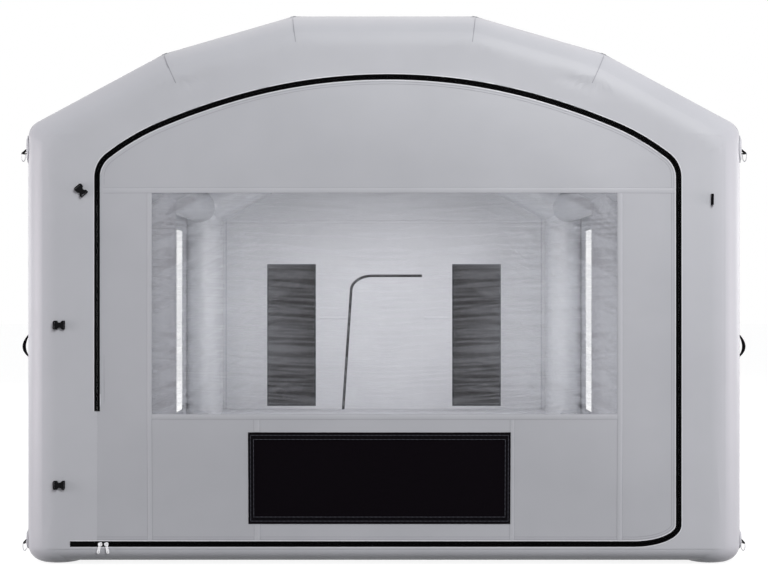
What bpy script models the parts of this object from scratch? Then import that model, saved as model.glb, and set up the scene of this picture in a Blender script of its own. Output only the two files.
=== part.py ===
"""Inflatable paint booth, 4 m wide, 8 m long and 3.06 m high.

Three air-filled arches stand on rounded feet. Air-filled beams join them at the shoulders and at
the ground, a thin sill tube closes the front, and coated fabric sheets are welded over them.
The front wall is nearly all one zipped door with a clear window and an air filter in it. The
back wall has two filters and a small zipped door.

Metres, +Z up. The front wall faces -Y, and the origin is on the ground below the middle.
"""

import math

import bmesh
import bpy
from mathutils import Matrix, Vector

# Overall size, over the sheets
LENGTH = 8.0
WIDTH = 4.0
HEIGHT = 3.06

# Cross-section of the roof: a flat top panel, then an upper and a lower slope on each side
TOP_PANEL = 1.024
UPPER_RUN = 0.724
UPPER_DROP = 0.210
LOWER_DROP = 0.411
EAVE_ROUNDING = 0.10
EAVE_GUSSETS = 4
ROOF_HEM_BELOW_EAVE = 0.139

# Air tubes
TUBE_RADIUS = 0.18
BEAM_RADIUS = 0.15
SILL_RADIUS = 0.09
FOOT_ROUNDING = 0.097
FOOT_STEPS = 5
BEAM_SETBACK = 0.06
TUBE_SIDES = 32

# Sheets, and the gap that two touching pieces keep
SHEET = 0.002
FILM = 0.001
GAP = 0.0003
FLOOR_LAP = 0.01
FILM_LAP = 0.015

# Front door, measured from the middle line of the front arch
DOOR_MARGIN_LEFT = 0.234
DOOR_MARGIN_RIGHT = 0.191
DOOR_MARGIN_TOP = 0.180
DOOR_SILL_MARGIN = 0.027
DOOR_CORNER_WIDTH = 0.248
DOOR_CORNER_HEIGHT = 0.106
DOOR_HINGE_LENGTH = 0.733
CORNER_STEPS = 6

# The door's crown from its middle to one side: the radius of each arc as a share of half the
# door's width, the degrees that it turns and the steps that it is drawn in
DOOR_ARCS = ((1.906, 16.7, 8), (2.413, 5.8, 3), (0.809, 15.4, 5), (0.094, 52.1, 7))

# Front filter and window, stacked up from the bottom of the door
FRONT_FILTER_WIDTH = 1.445
FRONT_FILTER_HEIGHT = 0.508
FRONT_FILTER_CENTRE = -0.0255
FRONT_FILTER_RISE = 0.111
WINDOW_RAIL = 0.099
WINDOW_MARGIN_LEFT = 0.301
WINDOW_MARGIN_RIGHT = 0.344
WINDOW_BELOW_CROWN = 0.641
FILTER_BORDER = 0.030
FRONT_BORDER_HEIGHT = 0.040
FILTER_LAP = 0.010
BORDER_THICKNESS = 0.004
PAD_THICKNESS = 0.012

# Zip fasteners
TAPE_WIDTH = 0.0155
TAPE_THICKNESS = 0.0012
CHAIN_HALF_WIDTH = 0.0035
CHAIN_HEIGHT = 0.0035
ZIP_TAIL = 0.149
SLIDER_LENGTH = 0.024
SLIDER_WIDTH = 0.022
SLIDER_FACE = 0.0075
SLIDER_INSET = 0.018
SLIDER_SPACING = 0.034
BRIDGE_SPAN = 0.005
BRIDGE_BAR = 0.0025
BRIDGE_RISE = 0.0064
BRIDGE_SHARE = 0.6
PULL_LENGTH = 0.051
PULL_WIDTH = 0.017
PULL_THICKNESS = 0.002
PULL_EYE = 0.0095
PULL_HOLE = 0.003
PULL_PLAY = 0.0004
PULL_SPLAY = 13.0

# Back wall
BACK_DOOR_HINGE_X = 0.39
BACK_DOOR_WIDTH = 0.815
BACK_DOOR_LEAN = 0.098
BACK_DOOR_HEIGHT = 1.46
BACK_DOOR_RISE = 0.05
BACK_DOOR_CORNER_WIDTH = 0.205
BACK_DOOR_CORNER_HEIGHT = 0.143
BACK_SLIDER_UP = 0.12
BACK_FILTER_WIDTH = 0.503
BACK_FILTER_HEIGHT = 1.458
BACK_FILTER_OFFSET = 0.949
BACK_FILTER_RISE = 0.174

# Side windows, one in each bay
SIDE_WINDOW_END = 0.21
SIDE_WINDOW_RISE = 0.128
SIDE_WINDOW_BELOW_HEM = 0.14

# Side-release buckles on the front wall: place and turn of each
BUCKLE_INSET_TOP = 0.146
BUCKLE_INSET = 0.025
BUCKLE_HEIGHTS = (2.071, 1.328, 0.445)
BUCKLE_TURN_TOP = -49.0
BUCKLE_LENGTH = 0.066
BUCKLE_WIDTH = 0.049
BUCKLE_WAIST = 0.027
BUCKLE_THICKNESS = 0.013
BUCKLE_WALL = 0.0022
BUCKLE_RUN = 0.0004
BUCKLE_CORNER = 0.006
BUCKLE_LIP = 0.002
BUCKLE_BARB = 0.002
STRAP_THICKNESS = 0.003
STRAP_SLOT = 0.004
STRAP_BAR = 0.0045
STRAP_WIDTH = 0.0385
TAB_WIDTH = 0.025

# Webbing loop at the right, and carrying handles on the front columns
LOOP_HEIGHT = 2.021
LOOP_LENGTH = 0.062
LOOP_WIDTH = 0.0125
LOOP_DEPTH = 0.022
HANDLE_HEIGHT = 1.209
HANDLE_SPAN = 0.118
HANDLE_REACH = 0.034
HANDLE_GRIP = 0.016
HANDLE_WIDTH = 0.028
HANDLE_FLAP = 0.03
HANDLE_BACK = 0.032

# Guy-line anchors on the front columns
ANCHOR_HIGH = 2.312
ANCHOR_LOW = 0.121
PATCH_RADIUS_HIGH = 0.078
PATCH_RADIUS_LOW = 0.053
PATCH_HEIGHT = 0.009
RING_DROP = 0.022
RING_OUT_HIGH = 0.033
RING_OUT_LOW = 0.023
RING_WIDTH = 0.044
RING_DEPTH = 0.047
RING_ROD = 0.0025
RING_TURN = 22.0
WEB_WIDTH = 0.025
WEB_THICKNESS = 0.0022
WEB_SPREAD = 0.0115
WEB_DROP = 0.009

# Inflation valve on the right back column
VALVE_HEIGHT = 0.48
VALVE_FLANGE = 0.038
VALVE_NECK = 0.024
VALVE_BORE = 0.016
VALVE_RISE = 0.014
VALVE_FLOOR = 0.004
CAP_WALL = 0.0025
CAP_SKIRT = 0.008
CAP_PLAY = 0.0012

# What follows from the sizes above
RIND = SHEET + GAP
ARCH_DEPTH = RIND + TUBE_RADIUS
ARCH_X = WIDTH / 2 - ARCH_DEPTH
ARCH_Y = LENGTH / 2 - ARCH_DEPTH
BEAM_X = WIDTH / 2 - RIND - BEAM_RADIUS
BEAM_Y = LENGTH / 2 - RIND - BEAM_RADIUS
SILL_Y = -LENGTH / 2 + RIND + SILL_RADIUS
GROUND = SHEET + GAP
EAVE_HEIGHT = HEIGHT - UPPER_DROP - LOWER_DROP
ROOF_HEM = EAVE_HEIGHT - ROOF_HEM_BELOW_EAVE
BEAM_Z = GROUND + BEAM_RADIUS
SILL_Z = GROUND + SILL_RADIUS
DOOR_LEFT = -ARCH_X + DOOR_MARGIN_LEFT
DOOR_RIGHT = ARCH_X - DOOR_MARGIN_RIGHT
DOOR_BOTTOM = SILL_Z + DOOR_SILL_MARGIN
DOOR_CROWN = HEIGHT - ARCH_DEPTH - DOOR_MARGIN_TOP
TAPE_TOP = GAP + TAPE_THICKNESS
CHAIN_TOP = GAP + CHAIN_HEIGHT


def clear_scene():
    for obj in list(bpy.data.objects):
        bpy.data.objects.remove(obj, do_unlink=True)


def make_material(name, colour, roughness, metallic=0.0):
    material = bpy.data.materials.new(name)
    material.use_nodes = True
    shader = material.node_tree.nodes["Principled BSDF"]
    shader.inputs["Base Color"].default_value = (*colour, 1.0)
    shader.inputs["Roughness"].default_value = roughness
    shader.inputs["Metallic"].default_value = metallic
    return material


def finish_mesh(bm, name, material, smooth=False, origin=None, parent=None):
    """Turn a bmesh in world space into an object whose origin is at the given point."""
    bmesh.ops.recalc_face_normals(bm, faces=bm.faces)
    origin = Vector(origin or (0, 0, 0))
    bmesh.ops.translate(bm, verts=bm.verts, vec=-origin)
    mesh = bpy.data.meshes.new(name)
    bm.to_mesh(mesh)
    bm.free()
    if smooth:
        mesh.shade_smooth()
        mesh.set_sharp_from_angle(angle=math.radians(35))
    mesh.materials.append(material)
    obj = bpy.data.objects.new(name, mesh)
    bpy.context.collection.objects.link(obj)
    obj.location = origin
    if parent:
        obj.parent = parent
        obj.matrix_parent_inverse = Matrix.Translation(-parent.location)
    return obj


def loft(name, rings, material, smooth=True, **place):
    """Skin a row of equal rings of points and close both ends."""
    bm = bmesh.new()
    rows = [[bm.verts.new(p) for p in ring] for ring in rings]
    for low, high in zip(rows, rows[1:]):
        for i in range(len(low)):
            j = (i + 1) % len(low)
            bm.faces.new((low[i], low[j], high[j], high[i]))
    bm.faces.new(rows[0])
    bm.faces.new(rows[-1])
    return finish_mesh(bm, name, material, smooth, **place)


def plate(name, outlines, to_world, low, high, material, **place):
    """Extrude flat outlines, the first one solid and the rest holes, from low to high."""
    bm = bmesh.new()
    edges = []
    for outline in outlines:
        verts = [bm.verts.new((u, v, 0)) for u, v in outline]
        edges += [bm.edges.new(pair) for pair in zip(verts, verts[1:] + verts[:1])]
    bmesh.ops.triangle_fill(bm, use_beauty=True, edges=edges)
    extruded = bmesh.ops.extrude_face_region(bm, geom=bm.faces[:])["geom"]
    for item in extruded:
        if isinstance(item, bmesh.types.BMVert):
            item.co.z = 1
    for vert in bm.verts:
        vert.co = to_world(vert.co.x, vert.co.y, high if vert.co.z else low)
    return finish_mesh(bm, name, material, **place)


def combine(target, other, operation):
    """Cut a hidden shape out of a piece, or join it on."""
    other.hide_render = True
    other.display_type = "WIRE"
    modifier = target.modifiers.new(f"{operation.lower()}_{other.name}", "BOOLEAN")
    modifier.operation = operation
    modifier.solver = "EXACT"
    modifier.object = other


def rectangle(left, right, bottom, top):
    return [(left, bottom), (right, bottom), (right, top), (left, top)]


def grown(box, by):
    """The outline of a left, right, bottom, top box, made larger by a margin all round."""
    return rectangle(box[0] - by, box[1] + by, box[2] - by, box[3] + by)


def offset_path(points, distance, closed=False):
    """Shift a path to the right of the way it runs, with mitred corners."""
    points = [Vector(p) for p in points]
    count = len(points)
    shifted = []
    for i, point in enumerate(points):
        before = points[i - 1] if closed or i else None
        after = points[(i + 1) % count] if closed or i < count - 1 else None
        ways = [w.normalized() for w in (before and point - before, after and after - point) if w]
        normals = [Vector((w.y, -w.x)) for w in ways]
        mitre = sum(normals, Vector((0, 0))).normalized()
        shifted.append(point + mitre * (distance / mitre.dot(normals[0])))
    return shifted


def fillet(before, corner, after, radius, steps):
    """The arc that rounds one corner of a path."""
    back, ahead = (before - corner).normalized(), (after - corner).normalized()
    half = back.angle(ahead) / 2
    centre = corner + (back + ahead).normalized() * (radius / math.sin(half))
    start = corner + back * (radius / math.tan(half)) - centre
    turn = start.angle_signed(corner + ahead * (radius / math.tan(half)) - centre)
    return [centre + Matrix.Rotation(-turn * i / steps, 2) @ start for i in range(steps + 1)]


def roof_line(depth, foot):
    """The booth's cross-section, depth inside its outer face, from the left foot to the right."""
    half, ridge = WIDTH / 2, TOP_PANEL / 2
    right = [(ridge, HEIGHT), (ridge + UPPER_RUN, HEIGHT - UPPER_DROP), (half, EAVE_HEIGHT), (half, 0)]
    left = [(-x, z) for x, z in reversed(right)]
    line = offset_path(left + right, depth)
    radius = EAVE_ROUNDING * (1 - depth / (2.2 * ARCH_DEPTH))
    eaves = [fillet(*line[i - 1:i + 2], radius, EAVE_GUSSETS) for i in (1, len(line) - 2)]
    ends = [Vector((line[0].x, foot)), Vector((line[-1].x, foot))]
    return [ends[0]] + eaves[0] + line[2:-2] + eaves[1] + [ends[1]]


def arch_rings(y, grow=0.0):
    """Rings of the tube of one arch; grow makes it fatter, for cutting what butts against it."""
    radius = (TUBE_RADIUS + grow) / math.cos(math.pi / TUBE_SIDES)
    angles = [2 * math.pi * (k + 0.5) / TUBE_SIDES for k in range(TUBE_SIDES)]
    rails = [roof_line(ARCH_DEPTH - radius * math.cos(a), GROUND + FOOT_ROUNDING) for a in angles]
    rings = [[Vector((r.x, y + radius * math.sin(a), r.y)) for r, a in zip(row, angles)]
             for row in zip(*rails)]
    rounding, flat = FOOT_ROUNDING + grow, TUBE_RADIUS - FOOT_ROUNDING
    for side, end in ((-1, 0), (1, -1)):
        centre, top = Vector((side * ARCH_X, y, 0)), rings[end]
        foot = []
        for i in range(1, FOOT_STEPS + 1):
            turn = math.pi / 2 * i / FOOT_STEPS
            z = GROUND + FOOT_ROUNDING - rounding * math.sin(turn)
            spread = (flat + rounding * math.cos(turn)) / (flat + rounding)
            foot.append([centre + Vector(((p.x - centre.x) * spread, (p.y - y) * spread, z)) for p in top])
        rings = foot[::-1] + rings if side < 0 else rings + foot
    return rings


def air_beam(name, start, end, radius, cutters, material):
    """A straight tube, coped to the arches that it butts against."""
    start, end = Vector(start), Vector(end)
    bm = bmesh.new()
    turn = (end - start).to_track_quat("Z", "Y").to_matrix().to_4x4()
    bmesh.ops.create_cone(bm, cap_ends=True, segments=TUBE_SIDES, depth=(end - start).length,
                          radius1=radius / math.cos(math.pi / TUBE_SIDES),
                          radius2=radius / math.cos(math.pi / TUBE_SIDES),
                          matrix=turn @ Matrix.Rotation(math.pi / TUBE_SIDES, 4, "Z"))
    bmesh.ops.translate(bm, verts=bm.verts, vec=(start + end) / 2)
    beam = finish_mesh(bm, name, material, smooth=True)
    for cutter in cutters:
        combine(beam, cutter, "DIFFERENCE")
    return beam


def on_front(u, v, w):
    """A point of the front wall: u to the right, v up, w inwards from its outer face."""
    return Vector((u, -LENGTH / 2 + w, v))


def on_back(u, v, w):
    return Vector((u, LENGTH / 2 - w, v))


def on_side(side):
    return lambda u, v, w: Vector((side * (WIDTH / 2 - w), u, v))


def front_door_path():
    """The middle of the front zip: up the left side, over, down the right and back along the bottom."""
    crown, lean = [Vector((0, 0))], 0.0
    for radius, turn, steps in DOOR_ARCS:
        centre = crown[-1] - radius * Vector((math.sin(lean), math.cos(lean)))
        for i in range(1, steps + 1):
            a = lean + math.radians(turn) * i / steps
            crown.append(centre + radius * Vector((math.sin(a), math.cos(a))))
        lean = a
    middle = (DOOR_LEFT + DOOR_RIGHT) / 2
    size = (DOOR_RIGHT - middle) / crown[-1].x
    path = [Vector((DOOR_LEFT, DOOR_BOTTOM + DOOR_HINGE_LENGTH))]
    path += [Vector((middle - p.x * size, DOOR_CROWN + p.y * size)) for p in reversed(crown)]
    path += [Vector((middle + p.x * size, DOOR_CROWN + p.y * size)) for p in crown[1:]]
    for i in range(CORNER_STEPS + 3):
        a = -math.pi / 2 * i / (CORNER_STEPS + 2)
        path.append(Vector((DOOR_RIGHT - DOOR_CORNER_WIDTH * (1 - math.cos(a)),
                            DOOR_BOTTOM + DOOR_CORNER_HEIGHT * (1 + math.sin(a)))))
    return path + [Vector((DOOR_LEFT, DOOR_BOTTOM))]


def back_door_path():
    """The middle of the back zip, from the foot of the hinge round to its head."""
    bottom = BEAM_Z + BACK_DOOR_RISE
    top = bottom + BACK_DOOR_HEIGHT
    left = BACK_DOOR_HINGE_X - BACK_DOOR_WIDTH
    lean = BACK_DOOR_LEAN / BACK_DOOR_HEIGHT
    path = [Vector((BACK_DOOR_HINGE_X, bottom)), Vector((left, bottom))]
    for i in range(CORNER_STEPS + 1):
        a = math.pi / 2 * i / CORNER_STEPS
        rise = BACK_DOOR_HEIGHT - BACK_DOOR_CORNER_HEIGHT * (1 - math.sin(a))
        inset = lean * rise + BACK_DOOR_CORNER_WIDTH * (1 - math.cos(a))
        path.append(Vector((left + inset, bottom + rise)))
    return path + [Vector((BACK_DOOR_HINGE_X, top))]


def zip_tape(name, path, side, to_world, material, tail=0.0, **place):
    """Half of a zip: a flat tape with half of the tooth chain along its edge.

    side is +1 for the half inside the door and -1 for the half on the wall. A tail runs on
    past the door with both halves of the zip, closed, on one piece.
    """
    slim = 0.00005
    stations = [(point, GAP / 2) for point in path]
    if tail:
        end = path[-1]
        stations[-1] = (end - Vector((GAP, 0)), GAP / 2)
        stations.append((end - Vector((GAP + TAPE_THICKNESS, 0)), -CHAIN_HALF_WIDTH))
        stations.append((end - Vector((tail, 0)), -CHAIN_HALF_WIDTH))
    points = [point for point, _ in stations]

    def at(distance):
        return offset_path(points, side * distance)

    wide, chain, edge, far = at(TAPE_WIDTH), at(CHAIN_HALF_WIDTH), at(GAP / 2), at(-TAPE_WIDTH)
    across, lip = at(-CHAIN_HALF_WIDTH), at(GAP / 2 - slim)
    rings = []
    for i, (_, inner) in enumerate(stations):
        closed = inner < 0
        crest, foot = (across[i], far[i]) if closed else (edge[i], lip[i])
        profile = [(wide[i], GAP), (wide[i], TAPE_TOP), (chain[i], TAPE_TOP), (chain[i], CHAIN_TOP),
                   (crest, CHAIN_TOP), (crest, TAPE_TOP), (foot, TAPE_TOP), (foot, GAP)]
        rings.append([to_world(p.x, p.y, -h) for p, h in profile])
    return loft(name, rings, material, smooth=False, **place)


def mirrored(points):
    """A half outline above the long axis, closed by its mirror image below it."""
    return points + [(x, -y) for x, y in reversed(points) if y > 0]


def zip_slider(name, spot, along, to_world, material, parent):
    """A slider body with a channel for the chain and a bridge across it for the pull."""
    along = Vector(along).normalized()
    up = Vector((-along.y, along.x))

    def local(u, v, w):
        p = Vector(spot) + along * u + up * v
        return to_world(p.x, p.y, w)

    half, width = SLIDER_LENGTH / 2, SLIDER_WIDTH / 2
    outline = mirrored([(-half, width * 0.5), (-half * 0.3, width * 0.9),
                        (half * 0.6, width), (half, width * 0.45)])
    body = plate(name, [outline], local, -SLIDER_FACE, -TAPE_TOP - GAP, material,
                 origin=local(0, 0, -TAPE_TOP), parent=parent)
    run = CHAIN_HALF_WIDTH + GAP
    channel = plate(f"cut_{name}", [rectangle(-SLIDER_LENGTH, SLIDER_LENGTH, -run, run)],
                    local, -CHAIN_TOP - GAP, 0, material)
    combine(body, channel, "DIFFERENCE")
    reach, sunk = BRIDGE_SPAN + BRIDGE_BAR / 2, SLIDER_FACE - GAP
    top = SLIDER_FACE + BRIDGE_RISE
    arch = [(-reach, sunk), (-reach, top), (-reach * 0.7, top + BRIDGE_BAR),
            (reach * 0.7, top + BRIDGE_BAR), (reach, top), (reach, sunk),
            (reach - BRIDGE_BAR, sunk), (reach - BRIDGE_BAR, top),
            (-reach + BRIDGE_BAR, top), (-reach + BRIDGE_BAR, sunk)]
    bridge = plate(f"join_{name}", [arch], lambda v, h, u: to_world(spot[0] + u, spot[1] + v, -h),
                   -BRIDGE_BAR * BRIDGE_SHARE, BRIDGE_BAR * BRIDGE_SHARE, material)
    combine(body, bridge, "UNION")
    return body


def zip_pull(name, spot, splay, to_world, material, parent):
    """A pull tab that hangs by its cross-bar under the slider's bridge."""
    turn = Matrix.Rotation(math.radians(splay), 2)
    height = SLIDER_FACE + BRIDGE_RISE / 2
    half, bar, drop = PULL_WIDTH / 2, PULL_THICKNESS * 0.7, PULL_LENGTH
    tilt = BRIDGE_BAR * BRIDGE_SHARE * math.sin(math.radians(abs(splay)))
    sag = BRIDGE_SPAN - BRIDGE_BAR / 2 - bar - PULL_PLAY - tilt

    def local(u, v, w):
        p = Vector(spot) - Vector((0, sag)) + turn @ Vector((u, v))
        return to_world(p.x, p.y, w - height)

    outline = [(-half * 0.75, bar), (half * 0.75, bar), (half * 0.8, -PULL_EYE - bar)]
    outline += [(half * math.cos(a), -drop + half - half * math.sin(a))
                for a in (math.pi * i / 8 for i in range(9))]
    outline.append((-half * 0.8, -PULL_EYE - bar))
    eye = rectangle(-half * 0.55, half * 0.55, -PULL_EYE, -bar)
    hole = [(PULL_HOLE * math.cos(a), -drop + half + PULL_HOLE * math.sin(a))
            for a in (math.pi * i / 4 for i in range(8))]
    return plate(name, [outline, eye, hole], local, -PULL_THICKNESS / 2, PULL_THICKNESS / 2, material,
                 origin=local(0, 0, 0), parent=parent)


def buckle(name, x, z, turn, material):
    """A side-release buckle: the female half on a sewn tab, and the two-armed male half in it."""
    spin = Matrix.Rotation(math.radians(turn), 2)

    def local(u, v, h):
        p = Vector((x, z)) + spin @ Vector((u, v))
        return on_front(p.x, p.y, -h)

    half, wide, waist = BUCKLE_LENGTH / 2, BUCKLE_WIDTH / 2, BUCKLE_WAIST / 2
    low = GAP + STRAP_THICKNESS
    high = low + BUCKLE_THICKNESS
    middle = (low + high) / 2
    mouth = half * 0.28
    corner = BUCKLE_CORNER
    shell = [(-half, wide - corner), (-half + corner, wide), (-half * 0.32, wide), (-half * 0.14, waist),
             (mouth * 0.4, waist), (mouth, waist + BUCKLE_LIP)]
    female = plate(f"buckle_female_{name}", [mirrored(shell)], local, low - GAP, high, material,
                   origin=local(0, 0, middle))
    tab = plate(f"join_tab_{name}", [rectangle(-half * 0.62, mouth - GAP, -TAB_WIDTH / 2, TAB_WIDTH / 2)],
                lambda u, v, h: on_front(x + u, z + v, -h), GAP, low, material)
    combine(female, tab, "UNION")
    inside = waist - BUCKLE_WALL
    cavity = plate(f"cut_pocket_{name}", [rectangle(-half * 0.45, half, -inside, inside)], local,
                   low + BUCKLE_WALL, high - BUCKLE_WALL, material)
    combine(female, cavity, "DIFFERENCE")
    window = plate(f"cut_windows_{name}", [rectangle(-half * 0.32, 0, -wide - GAP, wide + GAP)],
                   local, low + BUCKLE_WALL + GAP / 3, high - BUCKLE_WALL - GAP / 3, material)
    combine(female, window, "DIFFERENCE")
    bar = half - STRAP_BAR
    strap = STRAP_WIDTH / 2
    slot = plate(f"cut_slot_{name}", [rectangle(-bar, -bar + STRAP_SLOT, -strap, strap)], local,
                 0, high + GAP, material)
    combine(female, slot, "DIFFERENCE")

    arm = inside - BUCKLE_RUN
    shank = arm - BUCKLE_BARB
    arms_low, arms_high = low + BUCKLE_WALL + BUCKLE_RUN, high - BUCKLE_WALL - BUCKLE_RUN
    base = mouth + BUCKLE_RUN
    root = base + BUCKLE_WALL
    tip = -half * 0.40
    outline = [(root, shank), (-half * 0.06, shank), (-half * 0.08, arm), (tip * 0.7, arm), (tip, shank),
               (tip, arm * 0.5), (base - BUCKLE_RUN, arm * 0.55), (base - BUCKLE_RUN, arm * 0.2),
               (tip * 0.3, arm * 0.16)]
    male = plate(f"buckle_male_{name}", [mirrored(outline)], local, arms_low, arms_high, material,
                 origin=local(0, 0, middle))
    body = [(base, waist + BUCKLE_LIP / 2), (half * 0.42, wide * 0.84), (half * 0.58, wide),
            (half - corner / 2, wide), (half, wide - corner / 2)]
    block = plate(f"join_block_{name}", [mirrored(body)], local, low, high - GAP * 2, material)
    combine(male, block, "UNION")
    slit = plate(f"cut_slit_{name}", [rectangle(bar - STRAP_SLOT, bar, -strap, strap)], local,
                 0, high + GAP, material)
    combine(male, slit, "DIFFERENCE")
    return female, male


def on_column(side, z, u, v, h):
    """A point h above the front column's outer face; u runs back round it, v runs up."""
    outer = WIDTH / 2
    if u >= 0:
        return Vector((side * (outer + h), -ARCH_Y + u, z + v))
    a = -u / (TUBE_RADIUS + RIND)
    r = TUBE_RADIUS + RIND + h
    return Vector((side * (ARCH_X + r * math.cos(a)), -ARCH_Y - r * math.sin(a), z + v))


def strap_round_bar(root_high, bar, radius, root_low):
    """A path from one root round the far side of a bar and back to the other root."""
    points = [root_high]
    turns = []
    for root, way in ((root_high, 1), (root_low, -1)):
        towards = root - bar
        swing = math.acos(radius / towards.length)
        turns.append(math.atan2(towards.y, towards.x) - way * swing)
    start, end = turns
    while end > start:
        end -= 2 * math.pi
    for i in range(9):
        a = start + (end - start) * i / 8
        points.append(bar + radius * Vector((math.cos(a), math.sin(a))))
    return points + [root_low]


def anchor(name, side, z, patch_radius, out, cutters, web_material, steel_material):
    """A stepped round patch on a front column, with a webbing fold that holds a steel D-ring."""
    steps = 20
    sunk = -0.008
    levels = [(0.5, sunk), (1.0, sunk), (1.0, PATCH_HEIGHT * 0.25), (0.82, PATCH_HEIGHT * 0.35),
              (0.78, PATCH_HEIGHT * 0.8), (0.4, PATCH_HEIGHT)]
    bm = bmesh.new()
    rows = []
    for share, height in levels:
        ring = []
        for k in range(steps):
            a = 2 * math.pi * k / steps
            u, v = patch_radius * share * math.cos(a), patch_radius * share * math.sin(a)
            ring.append(bm.verts.new(on_column(side, z, u, v, height)))
        rows.append(ring)
    for low, high in zip(rows, rows[1:]):
        for k in range(steps):
            bm.faces.new((low[k], low[(k + 1) % steps], high[(k + 1) % steps], high[k]))
    for ring, height in ((rows[0], sunk), (rows[-1], PATCH_HEIGHT)):
        hub = bm.verts.new(on_column(side, z, 0, 0, height))
        for k in range(steps):
            bm.faces.new((ring[k], ring[(k + 1) % steps], hub))
    patch = finish_mesh(bm, f"anchor_{name}", web_material, smooth=True)

    face = WIDTH / 2 + PATCH_HEIGHT
    bar = Vector((WIDTH / 2 + out, z - RING_DROP))
    wrap = RING_ROD + GAP + WEB_THICKNESS / 2
    root = Vector((face - PATCH_HEIGHT * 0.6, z - WEB_DROP))
    rise = Vector((0, WEB_SPREAD))
    path = strap_round_bar(root + rise, bar, wrap, root - rise)
    strip = offset_path(path, WEB_THICKNESS / 2) + offset_path(path, -WEB_THICKNESS / 2)[::-1]
    turn = Matrix.Rotation(math.radians(RING_TURN), 2)
    pivot = Vector((face, 0))

    def local(out, up, along):
        flat = pivot + turn @ Vector((out - face, along))
        return Vector((side * flat.x, -ARCH_Y + flat.y, up))

    web = plate(f"join_web_{name}", [strip], local, -WEB_WIDTH / 2, WEB_WIDTH / 2, web_material)
    combine(patch, web, "UNION")
    for cutter in cutters:
        combine(patch, cutter, "DIFFERENCE")

    curve = bpy.data.curves.new(f"d_ring_{name}", "CURVE")
    curve.dimensions = "3D"
    curve.bevel_depth = RING_ROD
    curve.bevel_resolution = 1
    spline = curve.splines.new("POLY")
    half = RING_WIDTH / 2 - RING_ROD
    shape = [(-half, 0), (half, 0), (half, -RING_DEPTH * 0.35)]
    shape += [(half * math.cos(a), -RING_DEPTH * 0.35 - (RING_DEPTH * 0.65 - RING_ROD) * math.sin(a))
              for a in (math.pi * i / 10 for i in range(1, 10))]
    shape.append((-half, -RING_DEPTH * 0.35))
    spline.points.add(len(shape) - 1)
    origin = local(bar.x, bar.y, 0)
    for point, (along, up) in zip(spline.points, shape):
        point.co = (*(local(bar.x, bar.y + up, along) - origin), 1)
    spline.use_cyclic_u = True
    curve.materials.append(steel_material)
    ring = bpy.data.objects.new(f"d_ring_{name}", curve)
    ring.location = origin
    bpy.context.collection.objects.link(ring)
    return patch, ring


def carrying_handle(name, side, material):
    """A padded webbing grip that bows out from the column, with a sewn flap at each end."""
    stations = 12
    flat = WEB_THICKNESS
    span, reach = HANDLE_SPAN / 2, HANDLE_REACH - HANDLE_GRIP / 2
    rows = [(span + HANDLE_FLAP, flat / 2, flat), (span + flat, flat / 2, flat)]
    for i in range(1, stations):
        t = i / stations
        swell = math.sin(math.pi * t ** 1.15)
        rows.append((span - 2 * span * t, flat / 2 + (reach - flat / 2) * swell ** 0.8,
                     flat * 2 + (HANDLE_GRIP - flat * 2) * swell))
    rows += [(-span - flat, flat / 2, flat), (-span - HANDLE_FLAP, flat / 2, flat)]
    rings = []
    for i, (up, out, thick) in enumerate(rows):
        before, after = rows[max(i - 1, 0)], rows[min(i + 1, len(rows) - 1)]
        way = Vector((after[1] - before[1], after[0] - before[0])).normalized()
        across = Vector((-way.y, way.x))
        ring = []
        for k in range(10):
            a = 2 * math.pi * (k + 0.5) / 10
            wide, deep = HANDLE_WIDTH / 2 * math.cos(a), thick / 2 * math.sin(a) / math.sin(math.pi * 0.3)
            deep = max(-thick / 2, min(thick / 2, deep))
            p = Vector((WIDTH / 2 + GAP + out, HANDLE_HEIGHT + up)) + across * deep
            ring.append(Vector((side * p.x, -ARCH_Y + HANDLE_BACK + wide, p.y)))
        rings.append(ring)
    return loft(name, rings, material)


def webbing_loop(name, material):
    """A short folded strap that stands out from the front wall, for hanging up the open door."""
    half, depth = LOOP_WIDTH / 2, LOOP_DEPTH
    outer = [(half, 0), (half, depth - half)]
    outer += [(half * math.cos(a), depth - half + half * math.sin(a))
              for a in (math.pi * i / 8 for i in range(1, 8))]
    outer += [(-half, depth - half), (-half, 0)]
    inner = offset_path(outer, -WEB_THICKNESS)
    inner[0].y = inner[-1].y = 0
    outline = [Vector(p) for p in outer] + inner[::-1]
    x = ARCH_X - half - GAP
    return plate(name, [outline], lambda u, out, up: on_front(x + u, LOOP_HEIGHT + up, -GAP - out),
                 -LOOP_LENGTH / 2, LOOP_LENGTH / 2, material)


def turned(name, profile, steps, to_world, material, **place):
    """A solid of revolution from (radius, height) points that start and end on the axis."""
    bm = bmesh.new()
    first, last = (bm.verts.new(to_world(0, 0, h)) for h in (profile[0][1], profile[-1][1]))
    rows = []
    for radius, height in profile[1:-1]:
        rows.append([bm.verts.new(to_world(radius * math.cos(a), radius * math.sin(a), height))
                     for a in (2 * math.pi * k / steps for k in range(steps))])
    for low, high in zip(rows, rows[1:]):
        for k in range(steps):
            bm.faces.new((low[k], low[(k + 1) % steps], high[(k + 1) % steps], high[k]))
    for tip, ring in ((first, rows[0]), (last, rows[-1])):
        for k in range(steps):
            bm.faces.new((tip, ring[k], ring[(k + 1) % steps]))
    return finish_mesh(bm, name, material, smooth=True, **place)


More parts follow.
